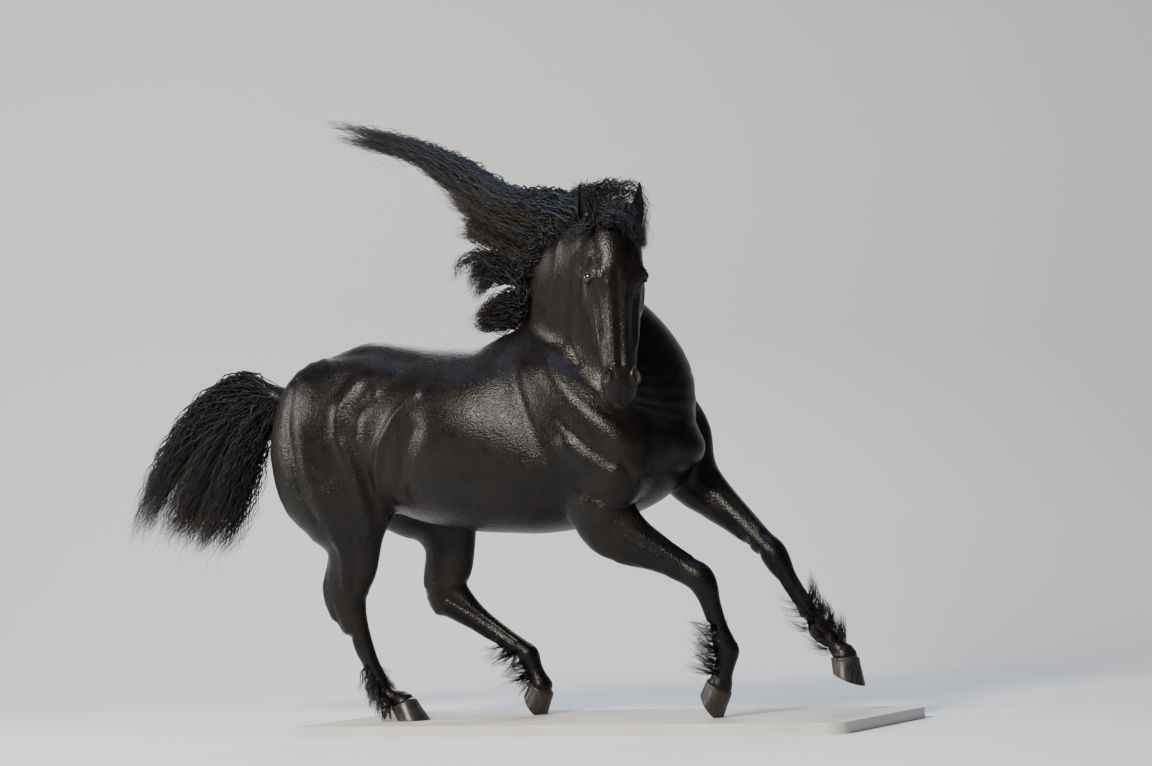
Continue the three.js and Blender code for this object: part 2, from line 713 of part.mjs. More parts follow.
// The hollow-topped plane that parts a hoof from its pastern.
function hoofCut({ coronet, pitch }) {
  const turn = THREE.MathUtils.degToRad(pitch);
  const rise = (hoof.toe - hoof.heel) / (2 * hoof.top);
  const facing = new THREE.Vector3(-rise, 0, 1).applyAxisAngle(new THREE.Vector3(0, 1, 0), turn);
  return slab(coronet, [...facing], hoof.cut, gap);
}

function makeSpur(rows, side) {
  const { hockHeight, tip, neck, point, heel, aside, radius } = hockSpur;
  const off = (row) => Math.abs(row[2] - hockHeight);
  const hock = rows.reduce((best, row) => (off(row) < off(best) ? row : best));
  const spurRows = [tip, neck, point, heel].map(([back, up, width]) => [
    hock[0] + back, hock[1], hock[2] + up, radius * width, radius, radius,
  ]);
  spurRows[0][1] += side * aside;
  return limb(spurRows, ringStep.leg, ringSides.spur);
}

// Seeded numbers from 0 to 1, so that every build draws the same locks
function makeDraw(seed) {
  let state = seed;
  return (low = 0, high = 1) => {
    state = (state * 1664525 + 1013904223) % 4294967296;
    return low + ((high - low) * state) / 4294967296;
  };
}

// A flat tapered lock along a bent path, waving as it goes.
function lock(points, { width, thick, wave, waves, phase, rings }) {
  const curve = new THREE.CatmullRomCurve3(points.map((p) => new THREE.Vector3(...p)));
  const sections = [];
  const upright = new THREE.Vector3(0.2, 1, 0.1).normalize();
  const edges = [0, 1, 2].map((k) => (2 * Math.PI * k) / 3);
  for (let i = 0; i <= rings; i++) {
    const t = i / rings;
    const along = curve.getTangentAt(t);
    const flat = upright.clone().addScaledVector(along, -upright.dot(along)).normalize();
    const wide = new THREE.Vector3().crossVectors(along, flat).normalize();
    const swing = 2 * Math.PI * waves * t + phase;
    const centre = curve
      .getPointAt(t)
      .addScaledVector(wide, wave * t * Math.sin(swing))
      .addScaledVector(flat, wave * 0.7 * t * Math.cos(swing));
    const size = Math.pow(1 - t, 0.6) * (0.7 + 0.3 * Math.sin(Math.PI * t)) + 0.02;
    const [a, b] = [(width * size) / 2, Math.max((thick * size) / 2, 0.6)];
    const corner = (angle) =>
      centre.clone().addScaledVector(wide, a * Math.sin(angle)).addScaledVector(flat, b * Math.cos(angle));
    sections.push(edges.map(corner));
  }
  return ringLoft(sections);
}

const fullTurn = 6.28;
const within = [0.1, 0.9];
const mixed = (a, b, t) => a.map((value, i) => value + (b[i] - value) * t);
const joined = (solids) => wasm.Manifold.union(solids);

// Mane: locks rooted along the crest that stream back in sheets
function crestPoint(share, depth) {
  const rows = neckRows.slice(1);
  const at = share * (rows.length - 1);
  const i = Math.min(rows.length - 2, Math.floor(at));
  const crest = mixed(rows[i][0], rows[i + 1][0], at - i);
  const under = mixed(rows[i][1], rows[i + 1][1], at - i);
  const inward = new THREE.Vector3(...under).sub(new THREE.Vector3(...crest)).normalize();
  return new THREE.Vector3(...crest).addScaledVector(inward, depth);
}

// The dense roots of the mane, a wedge along the crest that ends well short of the tips.
function makeManeCore() {
  const { from, to, rise, reach, half, drift, lift, steps } = mane.core;
  const rings = [];
  for (let i = 0; i <= steps; i++) {
    const t = i / steps;
    const share = THREE.MathUtils.lerp(from, to, t);
    const [inner, outer] = [crestPoint(share, mane.rootDepth), crestPoint(share, -rise)];
    const back = THREE.MathUtils.lerp(reach * 0.6, reach, Math.sin(Math.PI * t));
    const tip = outer.clone().add(new THREE.Vector3(-back, back * drift, back * lift * t));
    const thick = new THREE.Vector3(0, half, half * 0.3);
    const around = [inner.clone().add(thick), outer.clone().addScaledVector(thick, 0.8), tip];
    around.push(outer.clone().addScaledVector(thick, -0.8), inner.clone().sub(thick));
    rings.push(around);
  }
  return ringLoft(rings);
}

function makeManeLocks() {
  const draw = makeDraw(mane.seed);
  const locks = [makeManeCore()];
  for (const sheet of mane.sheets) {
    for (let i = 0; i < sheet.count; i++) {
      const share = (i + draw(...within)) / sheet.count;
      const rootShare = THREE.MathUtils.lerp(...sheet.roots, 1 - share);
      const root = crestPoint(rootShare, mane.rootDepth);
      const rise = crestPoint(rootShare, -draw(...mane.rise));
      const drift = draw(-1, 1) * mane.drift;
      const path = sheet.upper.map((place, k) => {
        const at = mixed(place, sheet.lower[k], share);
        at[1] += (drift * (k + 1)) / sheet.upper.length;
        return at;
      });
      const last = path.length - 1;
      path[last] = mixed(path[last - 1], path[last], draw(...mane.ends));
      const reach = new THREE.Vector3(...path[last]).distanceTo(rise);
      locks.push(
        lock([[...root], [...rise], ...path], {
          width: mane.width * sheet.broad * draw(...mane.widths),
          thick: mane.thick,
          wave: mane.wave * draw(...mane.waves),
          waves: reach / mane.waveLength,
          phase: draw(0, fullTurn),
          rings: sheet.rings,
        }),
      );
    }
  }
  return joined(locks);
}

// Tail: locks rooted along the dock that arch back and fall
function makeTailLocks() {
  const draw = makeDraw(tailHair.seed);
  const dock = resample(dockRows, 20).slice(3);
  const locks = [limb(tailHair.core, ringStep.tail, ringSides.tail)];
  for (let i = 0; i < tailHair.count; i++) {
    const share = draw();
    const at = dock[Math.floor(draw(...tailHair.roots) * dock.length)];
    const around = draw(0, 2 * Math.PI);
    const out = (reach) => [at[0], at[1] + Math.cos(around) * reach, at[2] + Math.sin(around) * reach];
    const [outer, inner, sway] = [tailHair.outer, tailHair.inner, draw(-1, 1) * tailHair.sway];
    const path = outer.map((place, k) => {
      const p = mixed(place, inner[k], share);
      return [p[0], p[1] + (sway * (k + 1)) / outer.length + out(tailHair.rise)[1] - at[1], p[2]];
    });
    const shorter = draw(...tailHair.ends);
    const last = path.length - 1;
    path[last] = mixed(path[last - 1], path[last], shorter);
    locks.push(
      lock([out(tailHair.rootDepth), ...path], {
        width: tailHair.width * draw(...tailHair.widths),
        thick: tailHair.thick,
        wave: tailHair.wave * draw(...tailHair.wavers),
        waves: tailHair.waves,
        phase: draw(0, fullTurn),
        rings: tailHair.rings,
      }),
    );
  }
  return joined(locks);
}

// Forelock: locks from the poll, over the brow and about the left ear
function makeForelock() {
  const draw = makeDraw(forelock.seed);
  const locks = [];
  for (const { count, from, to } of forelock.sweeps) {
    for (let i = 0; i < count; i++) {
      const share = (i + draw(...forelock.spread)) / count;
      const path = from.map((place, k) => mixed(place, to[k], share));
      locks.push(
        lock(path.map((p) => [...onHead(...p)]), {
          width: forelock.width * draw(...forelock.widths),
          thick: forelock.thick,
          wave: forelock.wave,
          waves: forelock.waves,
          phase: draw(0, fullTurn),
          rings: forelock.rings,
        }),
      );
    }
  }
  return joined(locks);
}

// Feathers: locks rooted round the back of a fetlock, flung the way the foot moves
function makeFeather(rows, { lift, count, ahead }) {
  const draw = makeDraw(feather.seed + count);
  const [above, below] = feather.rows.map((fromEnd) => new THREE.Vector3(...rows.at(-fromEnd).slice(0, 3)));
  const down = below.clone().sub(above).normalize();
  const side = new THREE.Vector3(0, 1, 0);
  const back = new THREE.Vector3().crossVectors(down, side).normalize();
  if (back.x > 0) back.negate();
  const locks = [];
  for (let i = 0; i < count; i++) {
    const share = (i + draw(...forelock.spread)) / count;
    const turned = i < ahead ? Math.PI : 0;
    const around = THREE.MathUtils.lerp(-feather.round, feather.round, (share * feather.turns) % 1) + turned;
    const out = back.clone().multiplyScalar(Math.cos(around)).addScaledVector(side, Math.sin(around));
    const root = mixed([...above], [...below], draw(...feather.roots));
    const hair = feather.length * draw(...feather.lengths);
    const way = down.clone().multiplyScalar(-lift).addScaledVector(out, feather.outward).normalize();
    const path = feather.lifts.map(([outward, on]) => [
      ...new THREE.Vector3(...root).addScaledVector(out, outward).addScaledVector(way, on * hair),
    ]);
    locks.push(lock(path, { ...feather, phase: draw(0, fullTurn) }));
  }
  return joined(locks);
}

function makeBase() {
  const { length, width, thick, corner } = base;
  const outline = new THREE.Shape();
  outline.moveTo(-length / 2 + corner, -width / 2);
  outline.lineTo(length / 2 - corner, -width / 2);
  outline.absarc(length / 2 - corner, -width / 2 + corner, corner, -Math.PI / 2, 0);
  outline.lineTo(length / 2, width / 2 - corner);
  outline.absarc(length / 2 - corner, width / 2 - corner, corner, 0, Math.PI / 2);
  outline.lineTo(-length / 2 + corner, width / 2);
  outline.absarc(-length / 2 + corner, width / 2 - corner, corner, Math.PI / 2, Math.PI);
  outline.lineTo(-length / 2, -width / 2 + corner);
  outline.absarc(-length / 2 + corner, -width / 2 + corner, corner, Math.PI, Math.PI * 1.5);
  return toSolid(new THREE.ExtrudeGeometry(outline, { depth: thick, bevelEnabled: false, curveSegments: 5 }));
}

// A limb's centre line, carried on into its hoof.
function limbRows({ limb: rows, hoof: foot }) {
  const turn = THREE.MathUtils.degToRad(foot.pitch);
  const inside = ([x, y, z], deep) => [x - deep * Math.sin(turn), y, z - deep * Math.cos(turn)];
  return [...rows, ...inHoof.map(([deep, ...size]) => [...inside(foot.coronet, deep), ...size])];
}

// Flesh and hooves as one body, then parted by thin cuts
const flesh = [makeTrunk(), makeNeck(), makeHeadFlesh(), limb(dockRows, ringStep.tail, ringSides.tail)];
for (const [name, rows] of Object.entries(legRows)) {
  flesh.push(limb(rows.mass, ringStep.mass, ringSides.mass));
  flesh.push(limb(limbRows(rows), ringStep.leg, ringSides.leg));
  flesh.push(makeHoof(rows.hoof));
  if (name.startsWith("hind")) flesh.push(makeSpur(rows.limb, name.endsWith("left") ? 1 : -1));
}
const headCut = {
  at: onHead(-118, -133, 0),
  reach: 230,
  facing: headAxes.face.clone().multiplyScalar(0.94).addScaledVector(headAxes.down, 0.34),
};
const knives = Object.values(cuts).map((cut) => slab(cut.at, cut.facing, cut.reach, gap));
knives.push(slab([...headCut.at], [...headCut.facing], headCut.reach, gap));
for (const rows of Object.values(legRows)) knives.push(hoofCut(rows.hoof));
const underfoot = new THREE.BoxGeometry(base.length * 2, base.width * 3, base.thick * 6);
const floor = toSolid(underfoot.translate(0, 0, gap - base.thick * 2));
const whole = union(flesh).simplify(fleshTolerance).subtract(makeHeadHollows()).subtract(floor);
const bodies = whole.subtract(union(knives)).decompose();

// The parted body that holds a point.
function bodyAt(point) {
  const probe = toSolid(new THREE.SphereGeometry(6, 6, 4).translate(...point));
  const shares = bodies.map((body) => body.intersect(probe).volume());
  return bodies[shares.indexOf(Math.max(...shares))];
}

const head = bodyAt([...onHead(60, -60, 0)]);
const ears = [-1, 1].map((side) => makeEar(side).subtract(swollen(head)));
const eyes = [-1, 1].map(makeEye);
const clearOfHead = swollen(union([head, ...ears]));

const part = new THREE.Group();
function addNode(name, solid, finish) {
  const mesh = new THREE.Mesh(toGeometry(largest(solid)), finish);
  mesh.name = name;
  part.add(mesh);
}

const torso = bodyAt([-460, -60, 1090]);
const clearOfTorso = swollen(torso);
const neck = bodyAt([60, -220, 1600]).add(makeManeLocks().subtract(clearOfHead).subtract(clearOfTorso));
addNode("torso", torso, materials.coat);
addNode("neck", neck, materials.coat);
addNode("head", head.add(makeForelock().subtract(swollen(union([...ears, ...eyes, neck])))), materials.coat);
addNode("tail", bodyAt([-1400, -95, 1290]).add(makeTailLocks().subtract(clearOfTorso)), materials.hair);
["right", "left"].forEach((side, i) => {
  addNode(`ear_${side}`, ears[i], materials.coat);
  addNode(`eye_${side}`, eyes[i], materials.eye);
});
for (const [name, rows] of Object.entries(legRows)) {
  const hind = name.startsWith("hind");
  const row = (index) => rows.limb[index].slice(0, 3);
  addNode(`${name}_upper`, bodyAt(row(hind ? 3 : rows.limb.length - 11)), materials.coat);
  const { coronet, pitch } = rows.hoof;
  const turn = THREE.MathUtils.degToRad(pitch);
  const { probe } = hoof;
  const deep = [coronet[0] - probe * Math.sin(turn), coronet[1], coronet[2] - probe * Math.cos(turn)];
  const horn = bodyAt(deep);
  const hair = makeFeather(rows.limb, feathers[name]).subtract(swollen(horn)).subtract(floor);
  addNode(`${name}_lower`, bodyAt(row(rows.limb.length - 5)).add(hair), materials.coat);
  addNode(`${name}_hoof`, horn, materials.hoof);
}
addNode("stand_base", makeBase(), materials.base);

export default part;
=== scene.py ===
import bpy
import bmesh
import math
import numpy as np
from mathutils import Matrix, Vector


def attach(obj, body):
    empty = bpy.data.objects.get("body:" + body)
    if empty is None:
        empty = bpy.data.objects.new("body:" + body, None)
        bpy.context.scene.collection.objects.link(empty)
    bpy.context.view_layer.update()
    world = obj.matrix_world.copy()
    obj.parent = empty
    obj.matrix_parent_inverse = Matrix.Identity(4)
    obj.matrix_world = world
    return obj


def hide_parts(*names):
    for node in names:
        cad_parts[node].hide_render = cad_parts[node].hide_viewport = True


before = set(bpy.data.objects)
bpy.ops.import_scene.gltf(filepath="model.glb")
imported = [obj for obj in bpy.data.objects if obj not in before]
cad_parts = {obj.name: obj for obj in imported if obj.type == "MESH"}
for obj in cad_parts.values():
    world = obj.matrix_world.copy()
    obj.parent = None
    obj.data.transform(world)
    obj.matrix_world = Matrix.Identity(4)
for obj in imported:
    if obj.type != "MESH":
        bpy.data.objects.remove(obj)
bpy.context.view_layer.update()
mm = 0.001

# camera, at the photograph's viewing angle
view = {"azimuth": 28, "pitch": 3.6, "roll": 2.4, "lens": 85, "place": (4.632, -8.830, 0.635)}
picture = {"width": 1152, "height": 766}


def viewAxes():
    az, pitch, roll = (math.radians(view[k]) for k in ("azimuth", "pitch", "roll"))
    forward = Vector((-math.sin(az) * math.cos(pitch), math.cos(az) * math.cos(pitch), math.sin(pitch)))
    right = Vector((math.cos(az), math.sin(az), 0))
    up = right.cross(forward)
    return right * math.cos(roll) - up * math.sin(roll), right * math.sin(roll) + up * math.cos(roll), forward


right, up, forward = viewAxes()
bpy.ops.object.select_all(action="DESELECT")
bpy.ops.object.camera_add(location=view["place"])
camera = bpy.context.object
camera.name = "camera"
camera.data.lens = view["lens"]
camera.data.clip_end = 100
camera.rotation_euler = Matrix((right, up, -forward)).transposed().to_euler()
bpy.context.scene.camera = camera
print("camera placed")

# the body's rows, in millimetres: a centre, a half width, and half depths to the front and back
leanAngle = math.radians(7)  # the body banks to its right
leanLine = 60  # y of the line on the ground that it banks about
baseThick = 40
trunkRows = [
    [-1262, 1262, 1120, 62, 0], [-1225, 1316, 1040, 128, 0], [-1150, 1368, 990, 190, .04],
    [-1050, 1420, 950, 238, .08], [-940, 1468, 910, 262, .08], [-850, 1481, 866, 268, .06],
    [-740, 1468, 822, 276, .03], [-611, 1450, 775, 300, 0], [-460, 1438, 742, 320, -.04],
    [-320, 1438, 728, 318, 0], [-190, 1484, 722, 296, .2], [-70, 1450, 730, 270, .3],
    [60, 1360, 745, 250, .25], [170, 1290, 775, 232, .1], [270, 1220, 815, 205, 0],
    [345, 1150, 865, 165, 0], [392, 1075, 930, 100, 0],
]
neckRows = [
    [[-250, -105, 1400], [400, -60, 960], 225, .1], [[-178, -115, 1478], [412, -62, 1110], 208, .25],
    [[-142, -165, 1568], [362, -90, 1258], 166, .35], [[-112, -225, 1652], [282, -140, 1385], 130, .4],
    [[-52, -275, 1718], [240, -196, 1474], 110, .4], [[38, -315, 1766], [222, -250, 1532], 98, .38],
    [[128, -345, 1806], [222, -292, 1580], 92, .3], [[205, -368, 1834], [228, -330, 1640], 86, .2],
]
headRows = [
    [-222, -5, -80, 50, 0], [-200, 26, -118, 80, 0], [-150, 50, -145, 97, 0], [-90, 64, -162, 106, 0],
    [-35, 70, -178, 109, .05], [10, 68, -190, 108, .1], [60, 61, -196, 102, .14], [110, 54, -188, 95, .2],
    [160, 48, -162, 88, .22], [215, 43, -128, 79, .2], [270, 39, -104, 70, .12], [320, 38, -92, 64, 0],
    [362, 36, -88, 65, -.04], [396, 26, -84, 60, -.04], [424, 6, -74, 47, 0], [440, -16, -58, 26, 0],
]
legRows = {
    "foreleg_right": {
        "mass": [[-150, -160, 1400, 24, 34, 44], [-40, -232, 1270, 78, 115, 140],
                 [90, -252, 1120, 88, 135, 165],
                 [215, -246, 990, 86, 118, 150], [236, -228, 900, 50, 56, 84]],
        "limb": [[235, -228, 950, 84, 105, 120], [165, -218, 850, 90, 118, 150],
                 [165, -210, 770, 84, 106, 146],
                 [240, -202, 695, 72, 80, 118], [340, -184, 628, 57, 61, 74], [425, -168, 572, 48, 50, 56],
                 [480, -159, 536, 51, 53, 54], [502, -151, 496, 46, 45, 50], [514, -140, 446, 37, 34, 42],
                 [530, -122, 366, 32, 31, 40], [545, -107, 300, 37, 39, 48], [550, -101, 272, 41, 45, 52],
                 [541, -98, 232, 35, 36, 40], [524, -96, 190, 34, 38, 37], [512, -95, 158, 45, 48, 44]],
        "coronet": [509, -95, 150], "pitch": 60,
    },
    "foreleg_left": {
        "mass": [[-150, -40, 1400, 24, 34, 44], [-30, 40, 1300, 78, 140, 140],
                 [130, 118, 1160, 90, 188, 165],
                 [272, 150, 1020, 92, 150, 150], [342, 140, 905, 50, 64, 74]],
        "limb": [[295, 124, 960, 84, 112, 120], [340, 142, 885, 84, 100, 104], [415, 140, 815, 72, 78, 82],
                 [520, 129, 728, 56, 58, 61], [598, 118, 657, 47, 48, 49], [645, 112, 612, 50, 52, 50],
                 [672, 117, 568, 46, 44, 48], [695, 128, 520, 36, 33, 38], [735, 152, 440, 31, 30, 37],
                 [772, 172, 362, 36, 36, 44], [788, 180, 332, 40, 41, 50], [820, 184, 298, 34, 34, 38],
                 [850, 188, 262, 34, 37, 36], [870, 190, 236, 45, 48, 44]],
        "coronet": [872, 190, 228], "pitch": 25,
    },
    "hindleg_right": {
        "mass": [[-850, -178, 1352, 24, 40, 40], [-960, -240, 1260, 90, 160, 190],
                 [-1012, -232, 1130, 108, 215, 240],
                 [-1000, -225, 1010, 118, 240, 258], [-965, -215, 890, 112, 222, 242],
                 [-942, -200, 790, 92, 170, 184]],
        "limb": [[-965, -215, 890, 108, 215, 236], [-942, -200, 790, 92, 168, 182],
                 [-940, -184, 710, 74, 118, 132],
                 [-962, -170, 630, 60, 112, 106], [-988, -158, 565, 52, 98, 92],
                 [-1000, -149, 505, 53, 84, 94],
                 [-986, -143, 440, 47, 64, 74], [-960, -132, 365, 37, 43, 56],
                 [-928, -114, 262, 32, 32, 38],
                 [-903, -100, 186, 38, 38, 46], [-893, -95, 150, 42, 42, 52], [-862, -91, 131, 36, 34, 38],
                 [-832, -88, 118, 37, 37, 36], [-812, -86, 108, 45, 46, 42]],
        "coronet": [-806, -86, 101], "pitch": 0,
    },
    "hindleg_left": {
        "mass": [[-850, -20, 1370, 24, 40, 40], [-950, 45, 1280, 90, 160, 190],
                 [-975, 75, 1140, 108, 220, 250],
                 [-905, 92, 1010, 116, 240, 255], [-800, 108, 900, 110, 205, 215],
                 [-718, 120, 800, 88, 140, 150]],
        "limb": [[-800, 108, 900, 106, 198, 208], [-718, 120, 800, 88, 140, 148],
                 [-698, 126, 715, 68, 104, 112],
                 [-716, 129, 630, 60, 108, 100], [-732, 130, 565, 53, 102, 90],
                 [-718, 131, 506, 53, 92, 92],
                 [-670, 138, 460, 47, 66, 70], [-594, 148, 403, 37, 44, 54], [-490, 160, 330, 33, 36, 48],
                 [-424, 167, 283, 38, 38, 46], [-402, 168, 262, 42, 42, 52], [-386, 170, 220, 36, 34, 38],
                 [-370, 171, 178, 36, 38, 36], [-358, 172, 148, 45, 47, 43]],
        "coronet": [-355, 172, 141], "pitch": 58,
    },
}
dockRows = [
    [-1200, -99, 1236, 44, 44, 44], [-1262, -98, 1276, 46, 42, 42], [-1340, -97, 1300, 40, 38, 38],
    [-1430, -93, 1284, 32, 30, 30], [-1500, -88, 1222, 24, 22, 22], [-1545, -82, 1140, 12, 12, 12],
]


def unit(v):
    return v / np.maximum(np.linalg.norm(v, axis=-1, keepdims=True), 1e-9)


def between(before, a, b, after, u):  # a smooth curve from a to b
    return .5 * (2 * a + (b - before) * u + (2 * before - 5 * a + 4 * b - after) * u ** 2
                 + (3 * a - before - 3 * b + after) * u ** 3)


def resample(rows, step):  # smooth values between rows, at even steps along the centre line
    rows = np.array(rows, float)
    gaps = np.linalg.norm(np.diff(rows[:, :3], axis=0), axis=1)
    along = np.concatenate([[0], np.cumsum(gaps)])
    t = np.linspace(0, along[-1], max(3, round(along[-1] / step) + 1))
    k = np.clip(np.searchsorted(along, t, side="right") - 1, 0, len(rows) - 2)
    u = ((t - along[k]) / (along[k + 1] - along[k]))[:, None]
    return between(*(rows[np.clip(k + n, 0, len(rows) - 1)] for n in (-1, 0, 1, 2)), u)


def alongPaths(paths, samples):  # smooth places along many paths at once
    count = paths.shape[1]
    t = np.linspace(0, count - 1, samples)
    i = np.minimum(t.astype(int), count - 2)
    u = (t - i)[None, :, None]
    return between(*(paths[:, np.clip(i + n, 0, count - 1)] for n in (-1, 0, 1, 2)), u)


def lean(points):
    x, y, z = np.moveaxis(np.asarray(points, float), -1, 0)
    c, s = math.cos(leanAngle), math.sin(leanAngle)
    return np.stack([x, leanLine + y * c - (z - baseThick) * s, baseThick + (z - baseThick) * c + y * s], -1)


def makeLimb(centres, side, front, size):
    return {"at": centres, "side": side, "front": front, "size": size}


def limbAlong(rows, step, across=(0, 1, 0)):  # ovals square to the centre line
    dense = resample(rows, step)
    at = dense[:, :3]
    along = unit(np.gradient(at, axis=0))
    side = unit(np.array(across) - along * (along @ np.array(across))[:, None])
    front = unit(np.cross(side, along))
    facing = np.array([1., 0, 0])
    for i in range(len(front)):
        if front[i] @ facing < 0:
            front[i] *= -1
        facing = front[i]
    taper = dense[:, 6:7] if dense.shape[1] > 6 else np.zeros((len(dense), 1))
    return makeLimb(at, side, front, np.concatenate([dense[:, 3:6], taper], 1))


def trunkLimb():
    rows = resample([[x, 0, (top + belly) / 2, wide, (top - belly) / 2, (top - belly) / 2, taper]
                     for x, top, belly, wide, taper in trunkRows], 30)
    c, s = math.cos(leanAngle), math.sin(leanAngle)
    count = len(rows)
    side, front = np.tile([0, c, s], (count, 1)), np.tile([0, -s, c], (count, 1))
    return makeLimb(lean(rows[:, :3]), side, front, rows[:, 3:7])


def neckLimb():
    rows = resample([[(a + b) / 2 for a, b in zip(crest, under)] + crest + [wide, 0, 0, taper]
                     for crest, under, wide, taper in neckRows], 22)
    at, crest = rows[:, :3], rows[:, 3:6]
    front = crest - at
    depth = np.linalg.norm(front, axis=1)
    front = unit(front)
    side = unit(np.cross(front, np.gradient(at, axis=0)))
    return makeLimb(at, side, front, np.stack([rows[:, 6], depth, depth, rows[:, 9]], 1))


# the head's own axes, from the point midway between the eyes
headPlace = {"eyes": (348, -450, 1588), "yaw": 56, "tilt": 3}
yaw, tilt = math.radians(headPlace["yaw"]), math.radians(headPlace["tilt"])
ahead = np.array([math.cos(yaw), -math.sin(yaw), 0])
headDown = ahead * math.sin(tilt) - np.array([0, 0, math.cos(tilt)])
headFace = ahead * math.cos(tilt) + np.array([0, 0, math.sin(tilt)])
headLeft = np.array([math.sin(yaw), math.cos(yaw), 0])
headEyes = np.array(headPlace["eyes"], float)


def onHead(points):  # down the nose, out of the face, to the left
    p = np.asarray(points, float)
    return headEyes + p[..., :1] * headDown + p[..., 1:2] * headFace + p[..., 2:3] * headLeft


def toHead(points):
    rel = points - headEyes
    return np.stack([rel @ headDown, rel @ headFace, rel @ headLeft], -1)


def headLimb():
    rows = resample([[down, 0, 0, (face + jaw) / 2, wide, (face - jaw) / 2, taper]
                     for down, face, jaw, wide, taper in headRows], 12)
    count = len(rows)
    at = onHead(np.stack([rows[:, 0], rows[:, 3], np.zeros(count)], 1))
    size = np.stack([rows[:, 4], rows[:, 5], rows[:, 5], rows[:, 6]], 1)
    return makeLimb(at, np.tile(headLeft, (count, 1)), np.tile(headFace, (count, 1)), size)


def legLimb(rows):
    turn = math.radians(rows["pitch"])
    into = np.array([-math.sin(turn), 0, -math.cos(turn)])
    ends = [list(np.array(rows["coronet"]) + into * deep) + size
            for deep, size in ((8, [44, 46, 44]), (24, [38, 38, 36]))]
    return limbAlong(rows["limb"] + ends, 14)


def spurLimb(rows, sign):  # the tendon down to the point of the hock
    x, y, z = min((row[:3] for row in rows["limb"]), key=lambda p: abs(p[2] - 506))
    return limbAlong([[x - 58, y + sign * 4, z + 152, 14, 21, 21], [x - 84, y, z + 70, 19, 21, 21],
                      [x - 86, y, z + 34, 24, 21, 21], [x - 52, y, z - 60, 21, 21, 21]], 20)


def limbValue(limb, points):  # signed distance, in millimetres, to the skin lofted over the limb's ovals
    at, side, front, size = (limb[k].astype(np.float32) for k in ("at", "side", "front", "size"))
    normal = np.cross(side, front)
    normal *= np.sign((normal * np.gradient(at, axis=0)).sum(1))[:, None]
    centre = at.mean(0)
    spots = at - centre
    nearest = np.argmin((spots ** 2).sum(1) - 2 * (points - centre) @ spots.T, axis=1)
    past = lambda k: ((points - at[k]) * normal[k]).sum(1)
    k = nearest = np.clip(nearest, 0, len(at) - 2)
    for _ in range(14):  # step to the two ovals whose planes hold the point between them
        k = np.clip(k - (past(k) < 0) + (past(k + 1) > 0), 0, len(at) - 2)
    best = np.full(len(points), 1e3, np.float32)
    for k in (k, nearest):
        before, after = past(k), past(k + 1)
        t = np.clip(before / np.maximum(before - after, 1e-3), 0, 1)[:, None]
        mix = lambda rows: rows[k] + t * (rows[k + 1] - rows[k])
        rel, sizes = points - mix(at), mix(size)
        a, b = (rel * mix(side)).sum(1), (rel * mix(front)).sum(1)
        reach = np.linalg.norm(rel, axis=1) + 1e-4
        e = np.sqrt(np.maximum(reach ** 2 - a * a - b * b, 0))
        depth = np.where(b > 0, sizes[:, 1], sizes[:, 2])
        wide = sizes[:, 0] * (1 - sizes[:, 3] * np.clip(b / depth, -1, 1))
        q = np.sqrt((a / wide) ** 2 + (b / depth) ** 2 + (e / np.minimum(wide, depth)) ** 2) + 1e-5
        best = np.minimum(best, reach * (1 - 1 / q))
    return best


def ball(down, face, left, long, deep, wide, turn=0):
    c, s = math.cos(math.radians(turn)), math.sin(math.radians(turn))
    axes = np.array([headDown * c + headLeft * s, headFace, headLeft * c - headDown * s])
    return {"centre": onHead([down, face, left]), "axes": axes, "radii": np.array([long, deep, wide])}


def ballValue(piece, points):
    rel = points - piece["centre"].astype(np.float32)
    q = np.linalg.norm(rel @ piece["axes"].T / piece["radii"], axis=1) + 1e-5
    return (np.linalg.norm(rel, axis=1) + 1e-4) * (1 - 1 / q)


def blendIn(a, b, k):
    h = np.clip(.5 + .5 * (b - a) / k, 0, 1)
    return b + (a - b) * h - k * h * (1 - h)


limbs = {"trunk": trunkLimb(), "neck": neckLimb(), "head": headLimb()}
blends = [("trunk", 10), ("neck", 70), ("head", 34)]
for name, rows in legRows.items():
    limbs[name + "_mass"] = limbAlong(rows["mass"], 28)
    limbs[name] = legLimb(rows)
    blends += [(name + "_mass", 60), (name, 34)]
    if name.startswith("hind"):
        limbs[name + "_spur"] = spurLimb(rows, 1 if name.endswith("left") else -1)
        blends.append((name + "_spur", 26))
limbs["dock"] = limbAlong(dockRows, 20)
blends.append(("dock", 34))
eye = {"down": 0, "face": 20, "side": 92, "radius": 23}
headBalls = [(ball(388, -72, 0, 34, 26, 36), 16)]
for sign in (-1, 1):
    headBalls += [
        (ball(-6, 12, sign * 62, 58, 42, 41), 30),
        (ball(42, -100, sign * 76, 92, 78, 34), 26),
        (ball(345, 10, sign * 48, 33, 24, 22, sign * 24), 14),
    ]


def boxed(low, high, points, value, blend, evaluate):
    near = np.all((points > low) & (points < high), axis=1)
    if near.any():
        value[near] = blendIn(value[near], evaluate(points[near]), blend)


coatDepth = 1.5  # the skin lies this far inside the outline, in millimetres


def skinValue(points):
    points = points.astype(np.float32)
    value = np.full(len(points), 400, np.float32)
    for name, blend in blends:
        limb = limbs[name]
        reach = limb["size"][:, :3].max() + 80
        boxed(limb["at"].min(0) - reach, limb["at"].max(0) + reach, points, value, blend,
              lambda p: limbValue(limb, p))
    for piece, blend in headBalls:
        reach = piece["radii"].max() + 60
        boxed(piece["centre"] - reach, piece["centre"] + reach, points, value, blend,
              lambda p: ballValue(piece, p))
    return value + coatDepth


